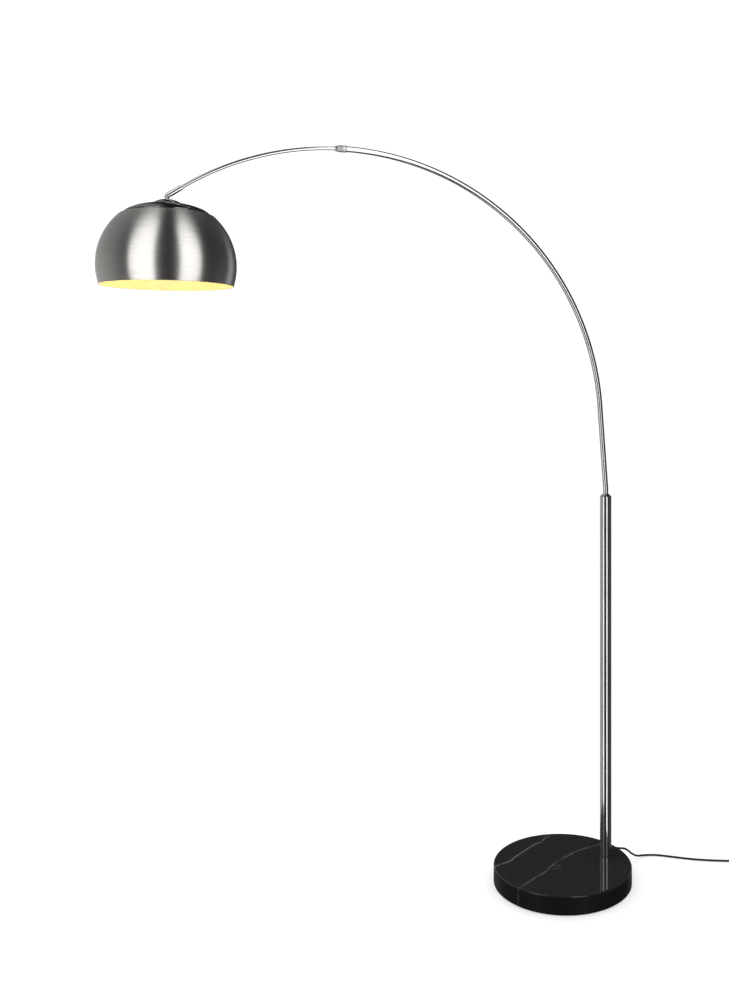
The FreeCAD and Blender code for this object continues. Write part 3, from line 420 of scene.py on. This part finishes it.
def felt(name):
    n = Nodes(name)
    n.set(Metallic=0.0)
    n.bsdf.inputs["Sheen Weight"].default_value = 0.5
    n.bsdf.inputs["Sheen Roughness"].default_value = 0.6
    fibre = n.noise(1400.0, 6.0, 0.8, n.mapped((1, 0.35, 1)))
    tuft = n.noise(160.0, 4.0, 0.7)
    n.to(n.ramp(n.math("MULTIPLY_ADD", fibre, 0.5, n.math("MULTIPLY", tuft, 0.5)), [(0.3, (0.008, 0.008, 0.009)), (0.7, (0.035, 0.035, 0.037))]), "Base Color")
    n.to(n.span(fibre, 0.2, 0.8, 0.85, 1.0), "Roughness")
    n.to(n.bump(fibre, 0.8, 0.0004), "Normal")
    return n.mat


def opal_bulb(name, glow):
    """Lit opal glass: a milky, even glow, a little brighter at its middle."""
    n = Nodes(name)
    n.set(Metallic=0.0, IOR=1.5, Roughness=0.18)
    sep = n.add("ShaderNodeSeparateXYZ")
    n.link(n.coords, sep.inputs[0])
    cloud = n.noise(24.0, 3.0, 0.5)
    n.to(n.ramp(cloud, [(0.3, (0.93, 0.91, 0.87)), (0.7, (0.97, 0.96, 0.93))]), "Base Color")
    n.to(n.ramp(n.span(sep.outputs[2], 1.411, 1.49, 0.0, 1.0), [(0.0, (1.0, 0.90, 0.66)), (0.55, (1.0, 0.94, 0.78)), (1.0, (1.0, 0.78, 0.48))]), "Emission Color")
    n.bsdf.inputs["Emission Strength"].default_value = glow
    return n.mat


M = {}
M["chrome"] = metal("polished_chrome_mat", (0.78, 0.785, 0.80), (0.86, 0.865, 0.875), (0.06, 0.11), 260.0, bump=0.012)
M["satin"] = metal("satin_tube_mat", (0.70, 0.70, 0.70), (0.80, 0.80, 0.80), (0.14, 0.20), 260.0, (1, 1, 1), bump=0.015)
M["zinc"] = metal("zinc_steel_mat", (0.48, 0.49, 0.50), (0.62, 0.62, 0.63), (0.25, 0.42), 240.0, bump=0.2)
M["knurl"] = metal("knurled_nickel_mat", (0.68, 0.68, 0.68), (0.80, 0.80, 0.79), (0.34, 0.50), 700.0, bump=0.12)
M["brass"] = metal("nickel_brass_mat", (0.70, 0.66, 0.56), (0.80, 0.77, 0.68), (0.14, 0.26), 400.0, bump=0.08)
M["bulb_metal"] = metal("bulb_cap_metal_mat", (0.62, 0.62, 0.61), (0.74, 0.74, 0.73), (0.22, 0.34), 400.0, bump=0.1)
M["black_gloss"] = metal("black_gloss_mat", (0.24, 0.24, 0.245), (0.30, 0.30, 0.305), (0.06, 0.11), 500.0, bump=0.02)
M["rubber"] = plastic("black_rubber_mat", (0.010, 0.010, 0.010), (0.022, 0.022, 0.022), (0.45, 0.65), 1200.0, 0.4)
M["sheath"] = plastic("cord_sheath_mat", (0.008, 0.008, 0.008), (0.018, 0.018, 0.018), (0.30, 0.46), 700.0, 0.25)
M["switch"] = plastic("switch_plastic_mat", (0.011, 0.011, 0.012), (0.020, 0.020, 0.021), (0.34, 0.48), 1500.0, 0.5, 0.00006)
M["button"] = plastic("button_plastic_mat", (0.030, 0.030, 0.031), (0.050, 0.050, 0.051), (0.24, 0.36), 900.0, 0.2)
M["plug"] = plastic("plug_plastic_mat", (0.010, 0.010, 0.010), (0.020, 0.020, 0.020), (0.36, 0.52), 1400.0, 0.45, 0.00006)
M["mechanism"] = plastic("mechanism_plastic_mat", (0.30, 0.29, 0.27), (0.42, 0.41, 0.38), (0.4, 0.55))
M["nylon"] = plastic("white_nylon_mat", (0.62, 0.61, 0.58), (0.74, 0.73, 0.70), (0.38, 0.5), 600.0, 0.15)
M["lead"] = plastic("inner_lead_mat", (0.30, 0.28, 0.25), (0.42, 0.40, 0.36), (0.4, 0.55))
M["holder"] = plastic("holder_plastic_mat", (0.66, 0.65, 0.62), (0.78, 0.77, 0.74), (0.26, 0.38), 800.0, 0.1)
M["felt"] = felt("black_felt_mat")
M["nickel"] = brushed_shell("brushed_nickel_mat", HEAD_X)
M["enamel"] = enamel("cream_enamel_mat")
M["bulb"] = opal_bulb("opal_bulb_mat", 0.85)
M["marble"] = marble("black_marble_mat", [
    (-0.1625, 0.0370, 0.0240, 0.1500, [-0.0023, -0.0047, -0.0092, -0.0108, -0.0083, -0.0064, -0.0054, -0.0044, -0.004, -0.0042, -0.0073, -0.0021, -0.0035], 0.0011, 0.34),
    (0.1640, 0.0700, -0.1530, -0.0860, [-0.0095, -0.0095, -0.0146, -0.0231, -0.0259, -0.0252, -0.0249, -0.0194, -0.0106, -0.0073, -0.0058, -0.0033, -0.0009], 0.0010, 0.24),
    (-0.0330, -0.0060, -0.0120, -0.0190, [0.0, 0.0050, 0.0080, 0.0060, 0.0], 0.0012, 0.13),
    (-0.0400, -0.0130, -0.0150, -0.0200, [0.0, -0.0040, -0.0060, -0.0030, 0.0], 0.0012, 0.10),
])

SLOTS = {
    "black_marble": "marble", "black_felt": "felt", "polished_chrome": "satin", "zinc_steel": "zinc", "white_nylon": "nylon",
    "black_rubber": "rubber", "cord_sheath": "sheath", "switch_plastic": "switch", "mechanism_plastic": "mechanism",
    "plug_plastic": "plug", "nickel_brass": "brass", "inner_lead": "lead", "knurled_nickel": "knurl", "black_gloss": "black_gloss",
    "brushed_nickel": "nickel", "holder_plastic": "holder", "bulb_opal_glass": "bulb", "bulb_metal": "bulb_metal", "button_plastic": "button",
}
node_slot = {}
for entry in frame["record"].get("materials", []):
    for where in entry.get("nodes", entry.get("applies_to", [])):
        node_slot[where] = entry["slot"]
GUESS = {
    "marble_base": "marble", "felt_pad": "felt", "pole_tube": "satin", "pole_top_cap": "chrome", "cord_gland": "rubber",
    "pole_foot_insert": "zinc", "base_bolt": "zinc", "base_washer": "zinc", "base_lock_washer": "zinc", "swivel_bush": "nylon",
    "foot_switch_lower": "switch", "foot_switch_upper": "switch", "foot_switch_mechanism": "mechanism", "foot_switch_screws": "zinc",
    "plug_body": "plug", "plug_pins": "brass", "locking_collet": "nylon", "lock_collar": "knurl", "guide_bush": "nylon",
    "knuckle_fork": "chrome", "knuckle_pin": "zinc", "knuckle_stem": "chrome", "cap_dome": "black_gloss", "cap_ring": "black_gloss",
    "shade": "nickel", "shade_washer": "zinc", "shade_nut": "zinc", "lampholder_cap": "holder", "lampholder_body": "holder",
    "screw_shell": "brass", "centre_contact": "brass", "bulb_glass": "bulb", "bulb_cap": "bulb_metal", "bulb_contact": "bulb_metal",
    "foot_switch_button": "button", "pole_wire": "sheath", "mains_cord": "sheath", "switch_tail_cord": "sheath", "cord_coil": "sheath",
    "plug_lead": "sheath", "lower_arm_wire": "lead", "upper_arm_wire": "lead", "shade_wire": "lead", "lower_arc_tube": "satin", "upper_arc_tube": "satin",
}
for name, obj in NODES.items():
    mat = M[GUESS[name]] if name in GUESS else M[SLOTS[node_slot[name]]]
    if not obj.material_slots:
        obj.data.materials.append(mat)
    for s in obj.material_slots:
        s.link = "OBJECT"
        s.material = mat

# ------------------------------------------------------------------ cord: one curve from the gland to the plug
GLAND_TIP = (0.1468, 0.0, 0.058)
ROUTE = [
    GLAND_TIP, (0.160, 0.0006, 0.0558), (0.172, 0.004, 0.0502), (0.186, 0.0125, 0.037), (0.203, 0.0255, 0.0225), (0.222, 0.0415, 0.0095), (0.246, 0.055, 0.0025),
    (0.275, 0.046, 0.0025), (0.303, 0.0265, 0.0025), (0.332, 0.005, 0.0025), (0.361, -0.0135, 0.0025), (0.390, -0.0285, 0.0025), (0.411, -0.0382, 0.0025), (0.428, -0.0472, 0.0032),
    floor_at(12.5, 0, 5.5), floor_at(25.0, 0, 5.5),
]
TAIL = [floor_at(61, 0, 5.5), floor_at(75, 0.3, 5.5), floor_at(89.3, 1.0, 3.0), floor_at(102.5, 1.8, 2.5)]
COIL_U, COIL_V = 116.0, -34.4
PLUG = [floor_at(102.6, COIL_V - 36.2, 7.3), floor_at(91.5, COIL_V - 37.0, 5.9), floor_at(80.5, COIL_V - 38.4, 5.9), floor_at(69.5, COIL_V - 39.2, 7.0)]

RINGS = (36.2, 31.3, 26.4, 21.5)   # radius of each turn, mm
LAYERS = (2.5, 7.35)               # height of each layer's centreline, mm


def ease(x):
    x = min(1.0, max(0.0, x))
    return 0.5 - 0.5 * math.cos(math.pi * x)


def coil_at(turned):
    """Radius and height of the coil after this many degrees: it winds in along the floor, climbs at the
    innermost turn, and winds out again on the layer above."""
    lap, phi = int(turned // 360), turned % 360
    if lap < 3:
        step = ease((phi - 240) / 120)
        return RINGS[lap] + (RINGS[lap + 1] - RINGS[lap]) * step, LAYERS[0]
    if lap == 3:
        return RINGS[3], LAYERS[0] + (LAYERS[1] - LAYERS[0]) * ease((phi - 120) / 120)
    inside, outside = RINGS[7 - lap], RINGS[6 - lap]
    return inside + (outside - inside) * ease(phi / 120), LAYERS[1]


PER_TURN = 16
step_angle = 360.0 / PER_TURN
COIL = []
for k in range(int(6.5 * PER_TURN)):
    turned_by = (k + 0.5) * step_angle
    r, z = coil_at(turned_by)
    r /= math.cos(math.radians(step_angle / 2))
    a = math.radians(turned_by)
    COIL.append(floor_at(COIL_U + r * math.sin(a), COIL_V + r * math.cos(a), z))

CORD_POINTS = ROUTE + TAIL + COIL + PLUG
CORD_D = 0.0048
curve = bpy.data.curves.new("mains_lead", "CURVE")
curve.dimensions = "3D"
curve.resolution_u = 6
curve.bevel_depth = CORD_D / 2
curve.bevel_resolution = 5
curve.use_fill_caps = True
spline = curve.splines.new("NURBS")
spline.points.add(len(CORD_POINTS) - 1)
for point, co in zip(spline.points, CORD_POINTS):
    point.co = (*co, 1.0)
spline.order_u = 3
spline.use_endpoint_u = True
lead = bpy.data.objects.new("mains_lead", curve)
scene.collection.objects.link(lead)
curve.materials.append(M["sheath"])
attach(lead, "base")
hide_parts("mains_cord", "switch_tail_cord", "cord_coil", "plug_lead")

# ------------------------------------------------------------------ strain relief where the cord leaves the pole
gl = 0.0212
gland_profile = [(0.0026, 0.0), (0.0036, 0.0), (0.0036, 0.0026), (0.0051, 0.0027), (0.0053, 0.0031), (0.0053, 0.0041), (0.0050, 0.0047)]
ribs = 6
for k in range(ribs):
    s0, s1 = k / ribs, (k + 0.62) / ribs
    z0, z1 = 0.0052 + 0.0150 * s0, 0.0052 + 0.0150 * s1
    r0, r1 = 0.0043 - 0.0011 * s0, 0.0043 - 0.0011 * s1
    gland_profile += [(r0 - 0.0006, z0), (r0, z0 + 0.0002), (r1, z1 - 0.0002), (r1 - 0.0006, z1)]
gland_profile += [(0.0031, gl - 0.0002), (0.0029, gl), (0.0026, gl)]
gland = make_object("strain_relief", lathe([(r, z) for r, z in gland_profile], 64, (0.1256, 0, 0.058), (1, 0, 0)), "base", [M["rubber"]], stands_for=["cord_gland"])

# ------------------------------------------------------------------ arm tubes
LEAN = math.radians(4.4)
join = Vector((ARC_X + ARC_R * math.cos(LEAN), 0, ARC_Z + ARC_R * math.sin(LEAN)))
knee_z = join.z - (POLE_X - join.x) / math.tan(LEAN)
BEND = 0.130
half_bend = BEND * math.tan(LEAN / 2)


def lower_path():
    pts = [(Vector((POLE_X, 0, 0.82505)), Vector((0, 0, 1)))]
    zb = knee_z - half_bend
    for k in range(6):
        a = LEAN * k / 5
        pts.append((Vector((POLE_X - BEND * (1 - math.cos(a)), 0, zb + BEND * math.sin(a))), Vector((-math.sin(a), 0, math.cos(a)))))
    start = -90 + 4.4
    for k in range(141):
        g = start * (1 - k / 140)
        t = math.radians(g)
        pts.append((on_arc(g), Vector((-math.cos(t), 0, -math.sin(t)))))
    return pts


def upper_path(g0, g1, count):
    out = []
    for k in range(count + 1):
        g = g0 + (g1 - g0) * k / count
        t = math.radians(g)
        out.append((on_arc(g), Vector((-math.cos(t), 0, -math.sin(t)))))
    return out


make_object("arched_lower_tube", sweep(lower_path(), (0.0065, 0.0052), 72), "lower_arm", [M["satin"]], stands_for=["lower_arc_tube"])
make_object("arched_upper_tube", sweep(upper_path(-16, 35, 90), (0.0040, 0.0031), 64), "upper_arm", [M["satin"]], stands_for=["upper_arc_tube"])

# Pole: a straight tube with turned ends.
pole_profile = soften([(0.0125, 0.045), (0.014, 0.045), (0.014, 0.917), (0.0125, 0.917)], 0.0005, 4)
make_object("pole", lathe(pole_profile, 128, (POLE_X, 0, 0)), "base", [M["satin"]], stands_for=["pole_tube"])

cap_profile = soften([
    (0.0068, 0.897), (0.01247, 0.897), (0.01247, 0.91705), (0.014, 0.91705), (0.014, 0.9178), (0.0127, 0.9195),
    (0.0086, 0.9229), (0.0078, 0.9240), (0.0068, 0.9240)], 0.0007, 4)
make_object("pole_cap", lathe(cap_profile, 128, (POLE_X, 0, 0)), "base", [M["chrome"]], stands_for=["pole_top_cap"])

# ------------------------------------------------------------------ twist collar: straight knurl between plain lips
cg = math.radians(0.96)
collar_axis = Vector((-math.cos(cg), 0, -math.sin(cg)))
collar_start = on_arc(0.96) - collar_axis * 0.013
TEETH = 44
collar_profile = [
    (0.00695, 0.0), (0.0074, 0.0), (0.0079, 0.0005), (0.0079, 0.0016), (0.0077, 0.0019), (0.0077, 0.0021), (0.0079, 0.0024),
    (0.0079, 0.0145), (0.0077, 0.0148), (0.0077, 0.0150), (0.0079, 0.0153), (0.0079, 0.0172), (0.0074, 0.0178), (0.0066, 0.0210), (0.0059, 0.0252), (0.0056, 0.0258), (0.0053, 0.0260),
    (0.00445, 0.0260), (0.00445, 0.0179), (0.00695, 0.0179)]


def knurl(i, a):
    return -0.00022 * (0.5 - 0.5 * math.cos(TEETH * a)) if i in (6, 7) else 0.0


make_object("twist_collar", lathe(collar_profile, TEETH * 6, collar_start, collar_axis, ripple=knurl), "collar", [M["knurl"]], smooth_angle=50, stands_for=["lock_collar"])

# ------------------------------------------------------------------ cap over the shade
dome_low, ball = 1.5716, 0.0542
dome_apex = 1.5816
centre = dome_apex - ball
a_low = math.degrees(math.asin((dome_low - centre) / ball))
a_top = math.degrees(math.acos(0.00435 / ball))
dome = arc_points(0, centre, ball, a_low, a_top, 20)
dome_in = arc_points(0, centre, ball - 0.0013, a_top, a_low + 2.2, 14)
dome_profile = [(0.0304, dome_low)] + dome + [(0.00435, dome_in[0][1])] + dome_in[1:] + [(0.0290, dome_low + 0.0006), (0.0304, dome_low + 0.0006)]
make_object("cap_crown", lathe(dome_profile, 160, (HEAD_X, 0, 0)), "shade_head", [M["black_gloss"]], stands_for=["cap_dome"])


def smooth_line(points, count):
    """A gentle curve through given section points (Catmull-Rom)."""
    out = []
    for i in range(len(points) - 1):
        p0 = Vector(points[max(i - 1, 0)])
        p1, p2 = Vector(points[i]), Vector(points[i + 1])
        p3 = Vector(points[min(i + 2, len(points) - 1)])
        for k in range(count):
            t = k / count
            q = 0.5 * ((2 * p1) + (p2 - p0) * t + (2 * p0 - 5 * p1 + 4 * p2 - p3) * t * t + (3 * p1 - p0 - 3 * p2 + p3) * t ** 3)
            out.append((q.x, q.y))
    out.append(tuple(points[-1]))
    return out


ring_top = smooth_line([(0.0050, 1.57150), (0.0200, 1.57140), (0.0341, 1.57090), (0.0452, 1.56900), (0.0604, 1.56520), (0.0699, 1.56180), (0.0778, 1.55830), (0.0848, 1.55390)], 5)
ring_edge = [(0.0856, 1.5531), (0.0860, 1.5524), (0.0859, 1.5518), (0.0854, 1.5514), (0.0847, 1.5514), (0.0840, 1.5519)]
ring_under = smooth_line([(0.0836, 1.5522), (0.0770, 1.5568), (0.0694, 1.5602), (0.0600, 1.5636), (0.0450, 1.5674), (0.0340, 1.5693), (0.0050, 1.5699)], 4)
make_object("cap_dish", lathe(ring_top + ring_edge + ring_under, 192, (HEAD_X, 0, 0)), "shade_head", [M["black_gloss"]], stands_for=["cap_ring"])

# ------------------------------------------------------------------ shade: spun shell with a rolled rim, enamelled inside
SR, SC, RIM = 0.1422, 1.442, 1.3995
a_rim = math.degrees(math.asin((RIM + 0.0012 - SC) / SR))
a_up = math.degrees(math.acos(0.096 / SR))
out_wall = arc_points(0, SC, SR, a_rim, a_up, 64)
out_top = [(0.0930, 1.5483), (0.0900, 1.54945), (0.0835, 1.5516), (0.0770, 1.5560), (0.0692, 1.5595), (0.0598, 1.5630), (0.0449, 1.5668), (0.0339, 1.5688), (0.0051, 1.5695)]
in_top = [(0.0051, 1.5684), (0.0338, 1.5677), (0.0446, 1.5657), (0.0594, 1.5619), (0.0687, 1.5585), (0.0764, 1.5550), (0.0830, 1.5504), (0.0894, 1.54825), (0.0924, 1.5471)]
wall = 0.0012
in_wall = arc_points(0, SC, SR - wall, math.degrees(math.acos(0.0953 / (SR - wall))), a_rim + 0.6, 60)
rim_roll = []
rr = 0.00095
ra, rz = out_wall[0]
rim_c = (ra - 0.00055, RIM + rr)
for k in range(9):
    a = math.radians(200 + 160 * k / 8)
    rim_roll.append((rim_c[0] + rr * math.cos(a), rim_c[1] + rr * math.sin(a)))
shade_profile = out_wall + out_top + in_top + in_wall + rim_roll
shade_slots = []
n_out = len(out_wall) + len(out_top)
n_in = len(in_top) + len(in_wall)
for i in range(len(shade_profile)):
    shade_slots.append(1 if n_out - 1 <= i < n_out + n_in + 1 else 0)
make_object("spun_shade", lathe(shade_profile, 320, (HEAD_X, 0, 0), slots=shade_slots), "shade_head", [M["nickel"], M["enamel"]], stands_for=["shade"])

# ------------------------------------------------------------------ bulb
bulb_out = arc_points(0, 1.441, 0.030, -90, 14.9, 28)
bulb_neck = smooth_line([(0.0290, 1.4487), (0.0264, 1.4580), (0.0210, 1.4685), (0.0166, 1.4780), (0.0146, 1.4870), (0.0142, 1.4938)], 4)
bulb_profile = bulb_out + bulb_neck + [(0.0129, 1.4938), (0.0133, 1.4870), (0.0154, 1.4776), (0.0199, 1.4680), (0.0252, 1.4576)] + list(reversed(arc_points(0, 1.441, 0.029, -90, 14.0, 20)))
make_object("globe_bulb", lathe(bulb_profile, 96, (HEAD_X, 0, 0)), "shade_head", [M["bulb"]], stands_for=["bulb_glass"]).visible_shadow = False

# ------------------------------------------------------------------ light inside the shade
glow = bpy.data.lights.new("bulb_glow", "POINT")
glow.color = (1.0, 0.84, 0.46)
glow.energy = 0.46
glow.shadow_soft_size = 0.024
glow_obj = bpy.data.objects.new("bulb_glow", glow)
glow_obj.location = (HEAD_X, 0, 1.460)
scene.collection.objects.link(glow_obj)
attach(glow_obj, "shade_head")
glow_obj.visible_camera = False

# ------------------------------------------------------------------ studio
world = bpy.data.worlds.new("studio")
scene.world = world
world.use_nodes = True
wt = world.node_tree
wt.nodes.clear()
w_out = wt.nodes.new("ShaderNodeOutputWorld")
w_path = wt.nodes.new("ShaderNodeLightPath")
w_white = wt.nodes.new("ShaderNodeBackground")
w_white.inputs[0].default_value = (1.0, 1.0, 1.0, 1.0)
w_white.inputs[1].default_value = 1.13
w_dark = wt.nodes.new("ShaderNodeBackground")
w_dark.inputs[1].default_value = 1.0
w_coord = wt.nodes.new("ShaderNodeTexCoord")
w_sep = wt.nodes.new("ShaderNodeSeparateXYZ")
wt.links.new(w_coord.outputs["Generated"], w_sep.inputs[0])


def wmath(op, a, b=None):
    n = wt.nodes.new("ShaderNodeMath")
    n.operation = op
    for i, x in enumerate((a, b)):
        if x is None:
            continue
        if isinstance(x, (int, float)):
            n.inputs[i].default_value = x
        else:
            wt.links.new(x, n.inputs[i])
    return n.outputs[0]


# azimuth from -Y (toward the camera side), positive toward -X, in turns
turn = wmath("DIVIDE", wmath("ARCTAN2", wmath("MULTIPLY", w_sep.outputs[0], -1.0), wmath("MULTIPLY", w_sep.outputs[1], -1.0)), 2 * math.pi)
turn = wmath("ADD", turn, 0.5)
ramp = wt.nodes.new("ShaderNodeValToRGB")
# azimuth -180 .. 180 -> 0 .. 1
stops = [(0.0, 0.12), (0.06, 0.10), (0.11, 0.08), (0.13, 0.45), (0.16, 0.45), (0.18, 0.07), (0.34, 0.05), (0.50, 0.02), (0.64, 0.03), (0.70, 0.09), (0.80, 0.33), (0.88, 0.44), (0.94, 0.44), (0.955, 0.62), (0.98, 0.62), (0.992, 0.12), (1.0, 0.12)]
while len(ramp.color_ramp.elements) < len(stops):
    ramp.color_ramp.elements.new(0.5)
for e, (pos, v) in zip(ramp.color_ramp.elements, stops):
    e.position = pos
    e.color = (v, v, v, 1)
wt.links.new(turn, ramp.inputs[0])
# overhead: higher up, the sky dims to a fraction of its value
high = wt.nodes.new("ShaderNodeMapRange")
high.inputs[1].default_value = 0.05
high.inputs[2].default_value = 0.40
high.inputs[3].default_value = 1.0
high.inputs[4].default_value = 0.22
wt.links.new(w_sep.outputs[2], high.inputs[0])
# the left of the room stays lighter higher up
side = wt.nodes.new("ShaderNodeMapRange")
side.inputs[1].default_value = 0.68
side.inputs[2].default_value = 0.78
side.inputs[3].default_value = 0.22
side.inputs[4].default_value = 0.62
wt.links.new(turn, side.inputs[0])
wt.links.new(side.outputs[0], high.inputs[4])
sky = wmath("MULTIPLY", ramp.outputs[0], high.outputs[0])
low = wt.nodes.new("ShaderNodeMapRange")
low.inputs[1].default_value = -0.90
low.inputs[2].default_value = -0.40
low.inputs[3].default_value = 0.7
low.inputs[4].default_value = 1.0
wt.links.new(w_sep.outputs[2], low.inputs[0])
wt.links.new(wmath("MULTIPLY", sky, low.outputs[0]), w_dark.inputs[0])
w_mix = wt.nodes.new("ShaderNodeMixShader")
wt.links.new(w_path.outputs["Is Glossy Ray"], w_mix.inputs[0])
wt.links.new(w_white.outputs[0], w_mix.inputs[1])
wt.links.new(w_dark.outputs[0], w_mix.inputs[2])
wt.links.new(w_mix.outputs[0], w_out.inputs["Surface"])

SHADE = Vector((HEAD_X, 0, 1.47))


def softbox(name, ax, ay, bx, by, low_z, high_z, radiance):
    """A tall upright panel between two points in plan, lit toward the lamp."""
    along = Vector((bx - ax, by - ay, 0))
    width = along.length
    d = along.normalized().cross(Vector((0, 0, 1)))
    mid = Vector(((ax + bx) / 2, (ay + by) / 2, (low_z + high_z) / 2))
    if d.dot(mid - SHADE) < 0:
        d = -d
    data = bpy.data.lights.new(name, "AREA")
    data.shape = "RECTANGLE"
    data.size = width
    data.size_y = high_z - low_z
    data.energy = radiance * math.pi * width * (high_z - low_z)
    obj = bpy.data.objects.new(name, data)
    obj.location = mid
    obj.rotation_euler = (-d).to_track_quat("-Z", "Y").to_euler()
    scene.collection.objects.link(obj)
    obj.visible_camera = False
    obj.visible_diffuse = False
    return obj


softbox("softbox_left", -1.198, -0.744, -1.605, -0.384, -1.5, 3.4, 1.75)
softbox("softbox_right", -0.2355, -2.0436, 0.2385, -0.9084, -1.5, 4.8, 1.75)

# soft key from above the camera's left, for gentle form and a contact shadow
key = bpy.data.lights.new("soft_key", "AREA")
key.shape = "RECTANGLE"
key.size, key.size_y = 2.6, 2.6
key.energy = 26.0
key_obj = bpy.data.objects.new("soft_key", key)
key_obj.location = (-1.9, -2.1, 3.4)
key_obj.rotation_euler = (Vector((0.1, 0, 0.3)) - Vector(key_obj.location)).to_track_quat("-Z", "Y").to_euler()
scene.collection.objects.link(key_obj)
key_obj.visible_camera = False
key_obj.visible_glossy = False

# plain pale floor
floor_mesh = bpy.data.meshes.new("floor")
fb = bmesh.new()
bmesh.ops.create_grid(fb, x_segments=2, y_segments=2, size=14.0)
fb.to_mesh(floor_mesh)
fb.free()
floor = bpy.data.objects.new("floor", floor_mesh)
floor.location = (0, 0, -0.0004)
scene.collection.objects.link(floor)
fm = bpy.data.materials.new("floor_mat")
fm.use_nodes = True
fbsdf = fm.node_tree.nodes["Principled BSDF"]
fbsdf.inputs["Base Color"].default_value = (0.55, 0.55, 0.55, 1)
fbsdf.inputs["Emission Color"].default_value = (1, 1, 1, 1)
fbsdf.inputs["Emission Strength"].default_value = 0.45
fbsdf.inputs["Roughness"].default_value = 0.9
fbsdf.inputs["Specular IOR Level"].default_value = 0.0
floor_mesh.materials.append(fm)
floor.visible_glossy = False
